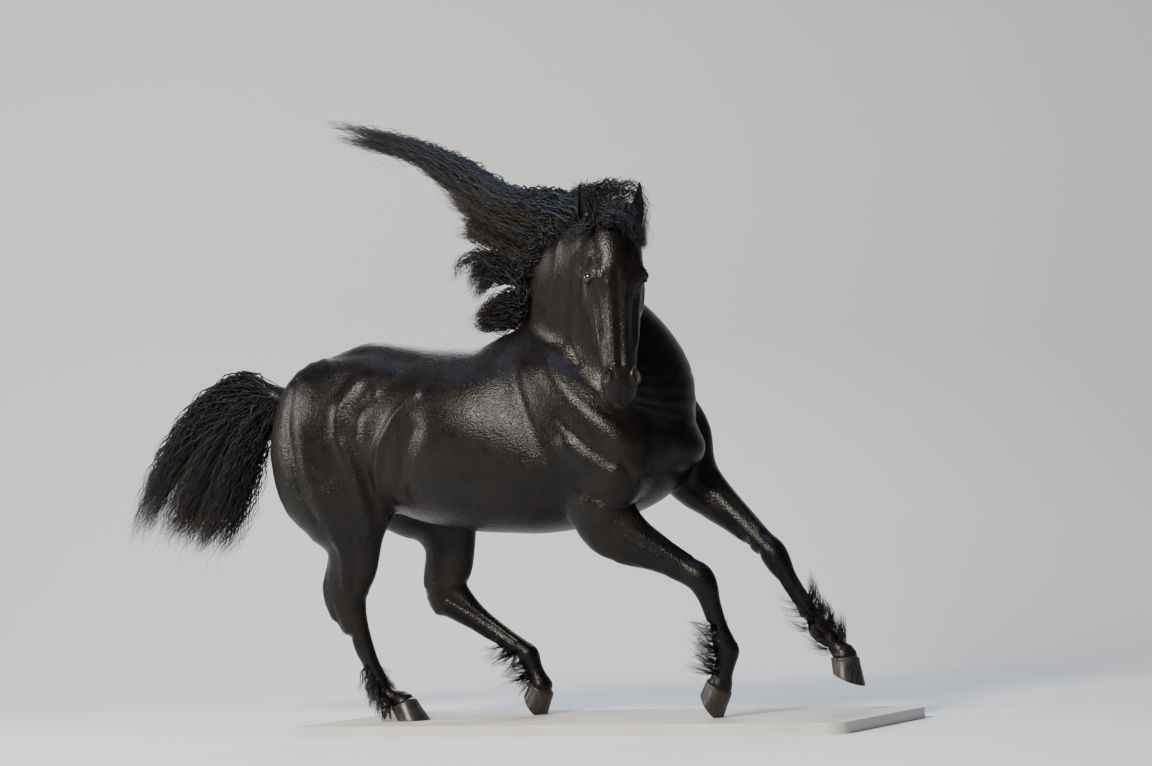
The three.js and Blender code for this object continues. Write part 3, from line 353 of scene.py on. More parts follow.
def ontoSkin(points, rounds=2, step=1.5):
    for _ in range(rounds):
        value = skinValue(points)
        slope = np.stack([skinValue(points + step * axis) - value for axis in np.eye(3)], 1) / step
        points = points - slope * (value / np.maximum((slope ** 2).sum(1), .05))[:, None]
    return points


skin = {"low": (-1640, -640, 60), "high": (1020, 340, 1890), "cell": 12.5, "coarse": 4, "reach": 62}


def skinNet():  # one vertex in each cell that the skin crosses, one quad round each crossed edge
    cell, coarse = skin["cell"], skin["coarse"]
    axes = [low + cell * np.arange(coarse * math.ceil((high - low) / cell / coarse) + 1, dtype=np.float32)
            for low, high in zip(skin["low"], skin["high"])]
    shape = tuple(len(a) for a in axes)
    grid = lambda parts: np.stack(np.meshgrid(*parts, indexing="ij"), -1)
    rough = grid([a[::coarse] for a in axes])
    roughValue = skinValue(rough.reshape(-1, 3)).reshape(rough.shape[:3])
    value = roughValue
    for axis in range(3):
        value = np.repeat(value, coarse, axis=axis).take(range(shape[axis]), axis=axis, mode="clip")
    value = np.roll(value, (coarse // 2,) * 3, (0, 1, 2))
    near = np.abs(value) < skin["reach"]
    value[near] = skinValue(grid(axes)[near])
    inside = value < 0
    corners = [(i, j, k) for i in (0, 1) for j in (0, 1) for k in (0, 1)]
    cut = lambda a, o: a[o[0]:shape[0] - 1 + o[0], o[1]:shape[1] - 1 + o[1], o[2]:shape[2] - 1 + o[2]]
    count = sum(cut(inside, o).astype(np.int8) for o in corners)
    crossed = (count > 0) & (count < 8)
    index = np.full(crossed.shape, -1, np.int32)
    index[crossed] = np.arange(crossed.sum())
    total, weight = np.zeros((crossed.sum(), 3)), np.zeros(crossed.sum())
    for a in corners:
        for axis in range(3):
            if a[axis]:
                continue
            b = tuple(v + (n == axis) for n, v in enumerate(a))
            va, vb = cut(value, a)[crossed], cut(value, b)[crossed]
            change = (va < 0) != (vb < 0)
            t = np.where(change, va / np.where(change, va - vb, 1), 0)
            spot = np.array(a, float) + t[:, None] * np.eye(3)[axis]
            total += spot * change[:, None]
            weight += change
    cells = np.argwhere(crossed)
    points = (cells + total / weight[:, None]) * cell + np.array(skin["low"])
    quads = []
    for axis in range(3):
        other = [n for n in range(3) if n != axis]
        step = np.eye(3, dtype=int)
        layers = np.moveaxis(inside, axis, 0)
        edges = np.argwhere(layers[:-1] != layers[1:])
        starts = layers[:-1][tuple(edges.T)]
        spots = np.zeros_like(edges)
        spots[:, axis] = edges[:, 0]
        spots[:, other[0]], spots[:, other[1]] = edges[:, 1], edges[:, 2]
        first, second = step[other[0]], step[other[1]]
        ring = [spots - first - second, spots - second, spots, spots - first]
        quad = np.stack([index[tuple(r.T)] for r in ring], 1)
        flip = starts if axis != 1 else ~starts
        quads.append(np.where(flip[:, None], quad, quad[:, ::-1]))
    return points, np.concatenate(quads)


def meshObject(name, points, faces, scale=mm):
    mesh = bpy.data.meshes.new(name)
    faces = np.asarray(faces)
    mesh.vertices.add(len(points))
    mesh.vertices.foreach_set("co", (np.asarray(points) * scale).astype(np.float32).ravel())
    mesh.loops.add(faces.size)
    mesh.loops.foreach_set("vertex_index", faces.ravel().astype(np.int32))
    mesh.polygons.add(len(faces))
    mesh.polygons.foreach_set("loop_start", np.arange(0, faces.size, faces.shape[1], dtype=np.int32))
    mesh.polygons.foreach_set("use_smooth", np.ones(len(faces), bool))
    mesh.update(calc_edges=True)
    mesh.validate()
    obj = bpy.data.objects.new(name, mesh)
    bpy.context.scene.collection.objects.link(obj)
    return obj


def readPoints(mesh):
    co = np.empty(len(mesh.vertices) * 3, np.float32)
    mesh.vertices.foreach_get("co", co)
    return co.reshape(-1, 3).astype(float) / mm


def writePoints(mesh, points):
    mesh.vertices.foreach_set("co", (points * mm).astype(np.float32).ravel())
    mesh.update()


def readNormals(mesh):
    normals = np.empty(len(mesh.vertices) * 3, np.float32)
    mesh.vertex_normals.foreach_get("vector", normals)
    return normals.reshape(-1, 3).astype(float)


def storeValues(mesh, **layers):  # one number for each vertex, under each name
    for name, values in layers.items():
        layer = mesh.attributes.new(name, "FLOAT", "POINT")
        layer.data.foreach_set("value", values.astype(np.float32))


def outward(points, faces):  # triangles of a closed body, turned to look out of it
    first, second, third = (points[faces[:, n]] for n in range(3))
    volume = np.einsum("ij,ij->i", first, np.cross(second, third)).sum()
    return faces if volume > 0 else faces[:, ::-1]


def refine(obj, chosen):  # splits the faces whose vertices are all chosen
    bm = bmesh.new()
    bm.from_mesh(obj.data)
    bm.verts.ensure_lookup_table()
    keep = set(np.flatnonzero(chosen).tolist())
    edges = [e for e in bm.edges if e.verts[0].index in keep and e.verts[1].index in keep]
    bmesh.ops.subdivide_edges(bm, edges=edges, cuts=1, use_grid_fill=True)
    bm.to_mesh(obj.data)
    bm.free()


points, quads = skinNet()
coat = meshObject("coat_skin", ontoSkin(points, 2), quads)
print("skin netted", len(points))

legPoints = {name: np.array([row[:3] for row in rows["limb"]]) for name, rows in legRows.items()}


def segmentDistance(points, path):
    best = np.full(len(points), 1e9)
    for a, b in zip(path[:-1], path[1:]):
        way = b - a
        t = np.clip((points - a) @ way / max(way @ way, 1e-9), 0, 1)
        best = np.minimum(best, np.linalg.norm(points - a - t[:, None] * way, axis=1))
    return best


points = readPoints(coat.data)
local = toHead(points)
onFace = (np.abs(local[:, 2]) < 150) & (local[:, 0] > -240) & (local[:, 0] < 470) & (local[:, 1] > -215)
lower = np.zeros(len(points), bool)
for name, path in legPoints.items():
    hind = name.startswith("hind")
    lower |= segmentDistance(points, path[5 if hind else 4:]) < 100
refine(coat, onFace | lower)


def relax(obj, rounds, chosen=None, factor=.5):  # evens out the surface
    group = obj.vertex_groups.new(name="relax")
    chosen = np.arange(len(obj.data.vertices)) if chosen is None else np.flatnonzero(chosen)
    group.add(chosen.tolist(), 1, "REPLACE")
    bpy.ops.object.select_all(action="DESELECT")
    bpy.context.view_layer.objects.active = obj
    obj.select_set(True)
    modifier = obj.modifiers.new("relax", "SMOOTH")
    modifier.factor, modifier.iterations, modifier.vertex_group = factor, rounds, "relax"
    bpy.ops.object.modifier_apply(modifier="relax")
    obj.vertex_groups.remove(obj.vertex_groups["relax"])


count = len(points)
points = readPoints(coat.data)
points[count:] = ontoSkin(points[count:], 1)
writePoints(coat.data, points)
local = toHead(points)
fine = np.zeros(len(points), bool)
for down, face, side, reach in [(0, 20, 92, 48), (348, 20, 55, 42), (390, -46, 34, 48), (425, -44, 0, 40)]:
    for sign in (-1, 1):
        fine |= np.linalg.norm(local - [down, face, sign * side], axis=1) < reach
refine(coat, fine)
count = len(points)
points = readPoints(coat.data)
points[count:] = ontoSkin(points[count:], 1)
writePoints(coat.data, points)
relax(coat, 5)
print("skin refined", len(points))

# muscles, folds and veins: strokes drawn over the photograph and dropped onto the skin
strokes = [  # radius, height (both millimetres), then points in the picture
    (26, 13, [(356, 384), (339, 408), (337, 436), (351, 470), (363, 505), (370, 532)]),
    (20, -9, [(374, 396), (356, 418), (354, 442), (366, 474), (378, 506)]),
    (22, 12, [(416, 394), (394, 418), (381, 444), (376, 472), (378, 498), (384, 518)]),
    (34, -13, [(412, 430), (402, 462), (402, 496)]),
    (46, 9, [(300, 430), (306, 470), (322, 505)]),
    (16, -6, [(296, 380), (288, 430), (298, 480), (316, 520)]),
    (40, 7, [(330, 370), (360, 368), (392, 376)]),
    (30, -6, [(336, 356), (372, 352), (410, 362)]),
    (32, -4, [(512, 360), (524, 400), (536, 440), (552, 470)]),
    (40, 10, [(548, 366), (568, 396), (596, 420), (628, 440)]),
    (20, -8, [(560, 420), (584, 444), (610, 462)]),
    (38, 11, [(566, 446), (590, 466), (612, 476)]),
    (16, -7, [(560, 478), (584, 492), (604, 500)]),
    (24, 8, [(640, 430), (646, 454), (640, 476)]),
    (14, -8, [(622, 462), (634, 480), (640, 500)]),
    (13, 6, [(600, 510), (630, 514), (664, 532), (690, 556)]),
    (11, -5, [(598, 528), (626, 534), (658, 552), (682, 574)]),
    (15, 6, [(590, 540), (616, 548), (646, 566), (672, 586)]),
    (8, -5, [(706, 600), (712, 622), (718, 640)]),
    (8, -5, [(332, 606), (342, 630), (352, 652), (362, 672)]),
    (14, 7, [(330, 528), (342, 556), (344, 584)]),
    (9, -6, [(352, 540), (356, 566), (352, 592)]),
    (9, -6, [(446, 598), (470, 612), (494, 628), (514, 642)]),
    (12, 5, [(716, 470), (738, 500), (760, 528)]),
    (9, -5, [(704, 490), (726, 518), (748, 544)]),
    (8, -5, [(776, 566), (790, 592), (806, 618)]),
    (7, 1.8, [(540, 346), (566, 372), (594, 396), (616, 408)]),
    (7, -2, [(534, 352), (558, 378), (586, 402), (608, 414)]),
    (6, 1.4, [(548, 338), (572, 360), (598, 382)]),
    (6, -1.6, [(544, 342), (568, 366), (596, 388)]),
    (6, 1.3, [(524, 352), (546, 380), (570, 402)]),
    (6, -1.3, [(520, 358), (540, 384), (562, 406)]),
    (20, 6, [(560, 240), (556, 280), (552, 320)]),
    (14, -6, [(574, 262), (572, 300), (570, 336), (576, 366)]),
    (6, 3, [(452, 472), (478, 492), (520, 506), (556, 506)]),
]
for x, low, top in ((424, 402, 470), (444, 400, 480), (464, 398, 486), (484, 398, 490), (503, 400, 492)):
    strokes.append((12, .7, [(x, low), (x + 4, (low + top) / 2), (x + 12, top)]))


def dropOnto(path):  # from the camera along each line of sight to the skin
    path = np.array(path, float)
    axes = [np.array(v) for v in (right, up, forward)]
    focal = view["lens"] / camera.data.sensor_width * picture["width"]
    across, down = path[:, :1] - picture["width"] / 2, path[:, 1:] - picture["height"] / 2
    rays = unit((across * axes[0] - down * axes[1]) / focal + axes[2])
    start = np.array(view["place"]) / mm
    reach = np.full(len(path), 7600.)
    for _ in range(70):
        reach += np.clip(skinValue(start + rays * reach[:, None]), -20, 90) * .8
    spots = start + rays * reach[:, None]
    return spots[np.abs(skinValue(spots)) < 6]


headStrokes = [  # radius, height, then points down the nose, out of the face, to the side
    (9, 4.5, [(56, 4, 100), (120, -4, 92), (180, -8, 80), (232, -10, 70)]),
    (12, -4, [(44, 40, 84), (110, 34, 76), (200, 26, 62)]),
    (12, 5.5, [(30, 66, 36), (140, 54, 33), (250, 42, 28), (316, 40, 24)]),
    (14, -5, [(-10, 76, 0), (90, 66, 0), (200, 50, 0), (300, 40, 0)]),
    (19, -8, [(-66, 44, 76), (-44, 50, 76)]),
    (8, 4, [(-30, 46, 84), (-24, 24, 100), (-20, 0, 104)]),
    (8, -3, [(-40, 50, 62), (-14, 56, 66), (18, 52, 72)]),
    (15, 5, [(-60, -150, 78), (20, -185, 66), (92, -176, 62), (134, -150, 66)]),
    (12, -4, [(-20, -30, 108), (60, -36, 104), (120, -60, 92), (150, -110, 76)]),
    (7, -2.5, [(20, 42, 88), (56, 46, 78)]),
    (4, 1.8, [(84, -26, 98), (150, -30, 86), (206, -6, 74), (250, 6, 64)]),
    (4, 1.5, [(150, -30, 86), (196, -44, 76), (240, -48, 68)]),
    (7, 4, [(322, 30, 52), (334, 32, 64), (356, 26, 70), (374, 14, 64), (380, 6, 52)]),
    (7, 3, [(322, 30, 50), (340, 40, 40), (364, 36, 38), (380, 18, 44)]),
    (4.5, -7, [(340, -50, 66), (370, -50, 60), (404, -48, 48), (428, -44, 28), (440, -40, 0)]),
    (9, 3, [(346, -36, 68), (376, -34, 64), (410, -32, 50), (434, -26, 28), (446, -24, 0)]),
    (8, 3, [(360, -64, 58), (392, -64, 48), (418, -60, 30), (430, -56, 0)]),
    (10, -4, [(396, 24, 0), (420, 6, 0), (438, -12, 0)]),
    (6, -2.5, [(356, -84, 40), (372, -84, 44), (392, -78, 40)]),
]


def strokeOnto(points, normals, path, radius, height):
    near = np.all((points > path.min(0) - radius * 3) & (points < path.max(0) + radius * 3), axis=1)
    if near.any():
        push = height * np.exp(-(segmentDistance(points[near], path) / radius) ** 2)
        points[near] += normals[near] * push[:, None]


points, normals = readPoints(coat.data), readNormals(coat.data)
for radius, height, path in strokes:
    strokeOnto(points, normals, dropOnto(path), radius, height)
for radius, height, path in headStrokes:
    for sign in (-1, 1):
        spots = onHead(np.array(path, float) * [1, 1, sign])
        middle = path[0][2] == 0 and path[-1][2] == 0
        if not (middle and sign > 0):
            strokeOnto(points, normals, ontoSkin(alongPaths(spots[None], 14)[0], 3), radius, height)

# nostrils, hollowed into the muzzle
nostril = {"at": (350, 24, 56), "long": 18, "wide": 9.5, "deep": 17, "edge": 9, "reach": 34}
for sign in (-1, 1):
    spot = ontoSkin(onHead([nostril["at"]] * np.array([1, 1, sign])), 4)[0]
    out = unit(headLeft * sign * .8 + headFace * .75 + headDown * .1)
    long = unit(headDown + headFace * -.35 + headLeft * sign * .2)
    long = unit(long - out * (long @ out))
    rel = points - spot
    a, b = rel @ long, rel @ np.cross(out, long)
    across = np.sqrt((a / nostril["long"]) ** 2 + (b / nostril["wide"]) ** 2)
    inside = 1 / (1 + np.exp((across - 1) * nostril["edge"]))
    inside *= np.linalg.norm(rel, axis=1) < nostril["reach"]
    points -= (out * nostril["deep"])[None] * inside[:, None]

# eyelids: the skin opens in an almond over each ball, with a rolled edge
lid = {"middle": 1, "half": 19, "above": 9.5, "below": 7.5, "edge": 12, "roll": 3, "rim": 2.2, "sunk": 7,
       "reach": 46, "fade": 44}
eyeAxes = {}
for side, sign in (("right", -1), ("left", 1)):
    centre = onHead([eye["down"], eye["face"], sign * eye["side"]])
    out = unit(headLeft * sign + headFace * .42 - headDown * .05)
    flat = unit(headFace - out * (headFace @ out))
    rise = unit(-headDown - out * (-headDown @ out))
    eyeAxes[side] = (centre, flat, rise, out)
    rel = points - centre
    a, b, c = rel @ flat, rel @ rise, rel @ out
    reach = np.linalg.norm(rel, axis=1)
    near = (reach < lid["reach"]) & (c > -4)
    a, b, c, reach = a[near], b[near], c[near], reach[near]
    curve = np.maximum(1 - ((a - lid["middle"]) / lid["half"]) ** 2, .02)
    opening = np.where(b > 0, b / (lid["above"] * curve), -b / (lid["below"] * curve))
    opening = np.where(np.abs(a - lid["middle"]) > lid["half"] - .5, 3, opening)
    inside = 1 / (1 + np.exp((opening - 1) * lid["edge"]))
    radius = eye["radius"]
    rim = radius + lid["roll"] * np.exp(-((opening - 1.4) / .5) ** 2) + lid["rim"]
    lidded = np.where(reach < radius + 12, np.maximum(reach, rim), reach)
    target = lidded * (1 - inside) + (radius - lid["sunk"]) * inside
    fade = np.clip((lid["fade"] - reach) / 12, 0, 1)
    points[near] += rel[near] / reach[:, None] * ((target - reach) * fade)[:, None]
writePoints(coat.data, points)
relax(coat, 1)
print("muscles, lids and nostrils shaped")

# ears: a tapering cup each, solid at the root, open to the front and side
ear = {"down": -176, "face": -34, "side": 74, "length": 166, "wide": 35, "deep": 26, "wall": 5.5,
       "splay": 9, "ahead": 5, "turn": 28, "rings": 26, "sides": 14}


def earMesh(name, sign):
    radians = math.radians
    outTilt, frontTilt = math.tan(radians(ear["splay"])), math.tan(radians(ear["ahead"]))
    rise = unit(-headDown + headLeft * sign * outTilt + headFace * frontTilt)
    opening = np.array(Matrix.Rotation(-sign * radians(ear["turn"]), 3, Vector(headDown)) @ Vector(headFace))
    opening = unit(opening - rise * (opening @ rise))
    across = np.cross(rise, opening)
    root = onHead([ear["down"], ear["face"], sign * ear["side"]])
    n, rings = ear["sides"], []
    for i in range(ear["rings"] + 1):
        t = i / ear["rings"]
        spread = .72 + .28 * math.sin(math.pi * min(1, t * 1.35))
        wide = ear["wide"] * spread * (1 - t) ** .55 + .8
        deep = ear["deep"] * spread * (1 - t) ** .5 + .8
        hollow = np.clip((t - .12) / .22, 0, 1)
        hollow = hollow * hollow * (3 - 2 * hollow)
        centre = root + rise * ear["length"] * t + across * sign * 10 * math.sin(math.pi * t * .8)
        wall = min(ear["wall"], deep * .35)
        angles = math.pi * (-.12 + 1.24 * np.arange(n + 1) / n)
        outer = np.stack([wide * np.cos(angles), -deep * np.sin(angles)], 1)
        j = np.arange(n - 1, 0, -1)
        back = angles[j]
        cup = -(deep - wall) * np.sin(back)
        full = deep * (.37 + .5 * np.sin(math.pi * j / n))
        inner = np.stack([(wide - wall) * np.cos(back), full + (cup - full) * hollow], 1)
        ring = np.concatenate([outer, inner])
        rings.append(centre + ring[:, :1] * across + ring[:, 1:] * opening)
    return ringMesh(name, np.array(rings))


def ringMesh(name, rings):  # a closed skin over rings of equal length
    count, sides = rings.shape[:2]
    points = np.concatenate([rings.reshape(-1, 3), rings[:1].mean(1), rings[-1:].mean(1)])
    i, j = np.meshgrid(np.arange(count - 1), np.arange(sides), indexing="ij")
    a, b = (i * sides + j).ravel(), (i * sides + (j + 1) % sides).ravel()
    faces = np.concatenate([np.stack([a, b, b + sides], 1), np.stack([a, b + sides, a + sides], 1)])
    j = np.arange(sides)
    nextJ = (j + 1) % sides
    first, last, top = len(points) - 2, len(points) - 1, (count - 1) * sides
    faces = np.concatenate([faces, np.stack([np.full(sides, first), nextJ, j], 1),
                            np.stack([np.full(sides, last), top + j, top + nextJ], 1)])
    return meshObject(name, points, outward(points, faces))


ears = [earMesh("ear_skin_" + side, sign) for side, sign in (("right", -1), ("left", 1))]

# hooves: a sloping wall with a swelling at the coronet and faint growth rings
hoof = {"top": 48, "ground": 63, "toe": 82, "heel": 42, "slope": 50, "reach": .62, "sides": 56, "rings": 22}


def hoofMesh(name, coronet, pitch):
    slope = hoof["toe"] / math.tan(math.radians(hoof["slope"]))
    middle = (hoof["toe"] + hoof["heel"]) / 2
    angle = 2 * np.pi * np.arange(hoof["sides"]) / hoof["sides"]
    reach = np.cos(angle)
    shares = np.concatenate([[-.06, -.03], np.linspace(0, 1, hoof["rings"]), [1, 1, .96]])
    inset = np.concatenate([[.8, .93], np.ones(hoof["rings"]), [.97, .82, .74]])
    rings = []
    for share, scale in zip(shares, inset):
        radius = hoof["top"] + (hoof["ground"] - hoof["top"]) * share
        swelling = 1.6 * math.exp(-((share - .05) / .05) ** 2)
        radius = radius * scale + swelling - .45 * math.sin(share * 60) * (share < .97)
        heel = np.clip(-reach, 0, 1) ** 6
        height = hoof["heel"] + (hoof["toe"] - hoof["heel"]) * (reach + 1) / 2
        rings.append(np.stack([radius * reach * (1 - .1 * heel) + slope * share * hoof["reach"],
                               radius * np.sin(angle), height * (1 - share) - middle], 1))
    turn = Matrix.Rotation(math.radians(pitch), 3, "Y")
    points = np.array(rings) @ np.array(turn).T + np.array(coronet)
    points[..., 2] = np.maximum(points[..., 2], baseThick + .6)
    return ringMesh(name, points)


hooves = [hoofMesh(name + "_horn", rows["coronet"], rows["pitch"]) for name, rows in legRows.items()]

# eyes: a ball each, with the place on it kept as an attribute for the iris and pupil
eyes = []
for side, sign in (("right", -1), ("left", 1)):
    centre, flat, rise, out = eyeAxes[side]
    bpy.ops.object.select_all(action="DESELECT")
    bpy.ops.mesh.primitive_uv_sphere_add(segments=48, ring_count=32, radius=(eye["radius"] - .4) * mm)
    eyeball = bpy.context.object
    eyeball.name = eyeball.data.name = "eyeball_" + side
    rise = np.cross(out, flat)
    local = readPoints(eyeball.data)
    spot = unit(local)
    bulge = 1 + .05 * np.exp(-((1 - spot[:, 2]) / .12) ** 2)
    turned = (local * bulge[:, None]) @ np.stack([flat, rise, out])
    writePoints(eyeball.data, turned + centre)
    store = eyeball.data.attributes.new("place", "FLOAT_VECTOR", "POINT")
    store.data.foreach_set("vector", spot.astype(np.float32).ravel())
    bpy.ops.object.shade_smooth()
    eyes.append(eyeball)
print("ears, hooves and eyes made")

# long hair: strands gathered in locks, as closed tapered meshes
unwrapOrder = list(limbs)


def unwrapAt(points):  # each limb is a tile, round it one way and along it the other
    best, spot = np.full(len(points), 1e9), np.zeros((len(points), 2))
    for tile, name in enumerate(unwrapOrder):
        limb = limbs[name]
        value = limbValue(limb, points.astype(np.float32))
        k = np.argmin(((points[:, None] - limb["at"][None]) ** 2).sum(2), axis=1)
        rel = points - limb["at"][k]
        angle = np.arctan2((rel * limb["front"][k]).sum(1), (rel * limb["side"][k]).sum(1))
        here = np.stack([(tile + .06 + .88 * (angle / (2 * np.pi) + .5)) / len(unwrapOrder),
                         .03 + .94 * k / len(limb["at"])], 1)
        closer = value < best
        best = np.where(closer, value, best)
        spot[closer] = here[closer]
    return spot


def strandFaces(samples):  # a strand of three sides, closed at its root and tip
    i, j = np.meshgrid(np.arange(samples - 1), np.arange(3), indexing="ij")
    a, b = (i * 3 + j).ravel(), (i * 3 + (j + 1) % 3).ravel()
    j = np.arange(3)
    top = (samples - 1) * 3
    return np.concatenate([np.stack([a, b + 3, b], 1), np.stack([a, a + 3, b + 3], 1),
                           np.stack([np.full(3, samples * 3), j, (j + 1) % 3], 1),
                           np.stack([np.full(3, samples * 3 + 1), top + (j + 1) % 3, top + j], 1)])


strandShape = {"flatness": .45, "tip": .12, "patch": .003}


def growHair(name, paths, width, wave, waves, phase, tone, samples, facing):
    count = len(paths)
    centres = alongPaths(paths, samples)
    along = unit(np.gradient(centres, axis=1))
    upright = unit(np.array(facing, float))
    flat = unit(upright - along * (along @ upright)[..., None])
    wide = np.cross(along, flat)
    t = np.linspace(0, 1, samples)[None, :]
    swing = 2 * np.pi * waves[:, None] * t + phase[:, None]
    strength = wave[:, None] * np.minimum(1, t * 2.2)
    centres = (centres + wide * (strength * np.sin(swing))[..., None]
               + flat * (strength * .7 * np.cos(swing))[..., None])
    swell = .65 + .35 * np.sin(np.pi * np.sqrt(t))
    size = (1 - t) ** .7 * swell * width[:, None] / 2 + strandShape["tip"]
    corners = 2 * np.pi * np.arange(3) / 3
    sines, cosines = (turn(corners)[None, None, :, None] for turn in (np.sin, np.cos))
    rings = (centres[:, :, None] + (wide * size[..., None])[:, :, None] * sines
             + (flat * size[..., None] * strandShape["flatness"])[:, :, None] * cosines)
    perStrand = samples * 3 + 2
    points = np.concatenate([rings.reshape(count, -1, 3), centres[:, :1], centres[:, -1:]], 1).reshape(-1, 3)
    strand = outward(points[:perStrand], strandFaces(samples))
    faces = (strand[None] + perStrand * np.arange(count)[:, None, None]).reshape(-1, 3)
    obj = meshObject(name, points, faces)
    root = unwrapAt(paths[:, 0])
    reach = np.concatenate([np.repeat(np.linspace(0, 1, samples), 3), [0, 1]])
    turn = np.concatenate([np.tile([0, .5, 1], samples), [.5, .5]])
    patch = np.stack([turn, reach], 1)
    bake = (root[:, None] + patch[None] * strandShape["patch"]).reshape(-1, 2)
    own = (patch[None] + np.stack([tone * 40, tone * 17], 1)[:, None]).reshape(-1, 2)
    for layer, values in (("OFBake", bake), ("strand", own)):
        uv = obj.data.uv_layers.new(name=layer)
        uv.data.foreach_set("uv", values[faces.ravel()].astype(np.float32).ravel())
    storeValues(obj.data, tone=np.repeat(tone, perStrand), reach=np.tile(reach, count))
    return obj


loose = {"jitter": .25, "strayShare": .06, "stray": 2.2, "ends": (-.55, .06)}


def gather(rng, guides, perGuide, spread):  # strands round each guide path, a few of them astray
    count, knots = guides.shape[:2]
    reach = np.array(spread)[None, None, :, None]
    offsets = rng.normal(0, 1, (count, perGuide, 1, 3)) * reach
    offsets += rng.normal(0, loose["jitter"], (count, perGuide, knots, 3)) * reach
    stray = rng.uniform(0, 1, (count, perGuide, 1, 1)) < loose["strayShare"]
    away = rng.normal(0, loose["stray"], (count, perGuide, 1, 3))
    offsets += stray * away * np.linspace(0, 1, knots)[:, None] ** 2 * np.mean(spread)
    paths = guides[:, None] + offsets
    ends = rng.uniform(*loose["ends"], (count, perGuide, 1))
    paths[..., -1, :] += (guides[:, None, -1] - guides[:, None, -2]) * ends
    return paths.reshape(-1, knots, 3)


def spreadOut(rng, values, perGuide, low=.8, high=1.2):
    return np.repeat(values, perGuide) * rng.uniform(low, high, len(values) * perGuide)


# mane: bands by where they root along the crest and where they point from the pivot
mane = {
    "seed": 7, "width": 8.5, "wave": 10.5, "waveLength": 88, "rise": (12, 30), "drift": 70,
    "sheets": [  # locks, strands in each, samples, roots along the crest, then the upper and lower paths
        (26, 30, 40, (0.72, 0.98), [[23, -300, 1917], [-161, -265, 1953], [-368, -225, 2086],
                                    [-617, -180, 2197], [-978, -130, 2324]],
         [[-12, -300, 1837], [-194, -265, 1903], [-392, -225, 2019], [-630, -180, 2142],
          [-1004, -130, 2255]]),
        (30, 28, 32, (0.5, 0.95), [[27, -290, 1902], [-125, -255, 1936], [-292, -215, 2014],
                                   [-474, -170, 2122], [-660, -130, 2179]],
         [[-21, -290, 1766], [-172, -255, 1829], [-318, -215, 1911], [-468, -170, 2014],
          [-683, -130, 2144]]),
        (30, 26, 24, (0.35, 0.8), [[7, -265, 1784], [-121, -215, 1837], [-259, -170, 1909],
                                   [-393, -135, 1972], [-525, -100, 2040]],
         [[-48, -265, 1698], [-147, -215, 1729], [-255, -170, 1770], [-358, -135, 1810],
          [-459, -100, 1822]]),
        (26, 22, 18, (0.76, 1), [[92, -335, 1905], [11, -315, 1924], [-85, -290, 1937],
                                 [-194, -260, 1977], [-308, -220, 2053]],
         [[59, -335, 1854], [-33, -315, 1874], [-138, -290, 1905], [-247, -260, 1955], [-362, -220, 2035]]),
        (20, 24, 26, (0.1, 0.45), [[-132, -210, 1664], [-223, -175, 1711], [-347, -140, 1760],
                                   [-443, -110, 1736], [-489, -85, 1648]],
         [[-129, -210, 1618], [-194, -175, 1649], [-277, -140, 1654], [-343, -110, 1634],
          [-404, -85, 1566]]),
        (22, 24, 22, (0.0, 0.2), [[-174, -140, 1590], [-230, -115, 1601], [-308, -90, 1595],
                                  [-377, -65, 1565], [-434, -45, 1523]],
         [[-183, -140, 1517], [-246, -115, 1496], [-313, -90, 1488], [-381, -65, 1486], [-446, -45, 1501]]),
    ],
}
crestRows = np.array([row[0] for row in neckRows[1:]], float)
underRows = np.array([row[1] for row in neckRows[1:]], float)


def crestPoint(share, depth):
    at = np.clip(share, 0, 1) * (len(crestRows) - 1)
    i = np.minimum(at.astype(int), len(crestRows) - 2)
    u = (at - i)[:, None]
    crest = crestRows[i] * (1 - u) + crestRows[i + 1] * u
    under = underRows[i] * (1 - u) + underRows[i + 1] * u
    return crest + unit(under - crest) * np.asarray(depth)[:, None]


def sheetGuides(rng, count, roots, upper, lower):  # guide paths between a sheet's two edges
    share = (np.arange(count) + rng.uniform(.1, .9, count)) / count
    rng.shuffle(share)
    rootShare = np.interp(1 - share, (0, 1), roots) + rng.normal(0, .03, count)
    root = crestPoint(rootShare, np.full(count, 14.))
    rise = crestPoint(rootShare, -rng.uniform(*mane["rise"], count))
    upper, lower = np.array(upper, float), np.array(lower, float)
    path = upper + (lower - upper) * share[:, None, None]
    steps = np.arange(1, len(upper) + 1) / len(upper)
    path[..., 1] += rng.uniform(-1, 1, (count, 1)) * mane["drift"] * steps
    path[:, -1] = path[:, -2] + (path[:, -1] - path[:, -2]) * rng.uniform(.3, 1.15, (count, 1)) ** .8
    return np.concatenate([root[:, None], rise[:, None], path], 1)


hair = []


def pathLengths(paths):
    return np.linalg.norm(np.diff(paths, axis=1), axis=2).sum(1)


def addHair(name, pieces, rng, guides, lengths, settings, spread, samples, facing=(.2, 1, .1)):
    per = settings["strands"]
    paths = gather(rng, guides, per, spread)
    waves = spreadOut(rng, lengths / settings["waveLength"], per, .9, 1.1)
    phase = np.repeat(rng.uniform(0, 2 * np.pi, len(guides)), per) + rng.normal(0, .35, len(paths))
    wave = spreadOut(rng, settings["wave"] * rng.uniform(.6, 1.4, len(guides)), per)
    width = settings["width"] * rng.uniform(.6, 1.3, len(paths))
    tone = np.clip(np.repeat(rng.uniform(0, 1, len(guides)), per) + rng.normal(0, .15, len(paths)), 0, 1)
    for piece, chosen in enumerate(np.array_split(np.arange(len(paths)), pieces)):
        fullName = name + ("_" + str(piece + 1) if pieces > 1 else "")
        shares = (values[chosen] for values in (paths, width, wave, waves, phase, tone))
        hair.append(growHair(fullName, *shares, samples, facing))


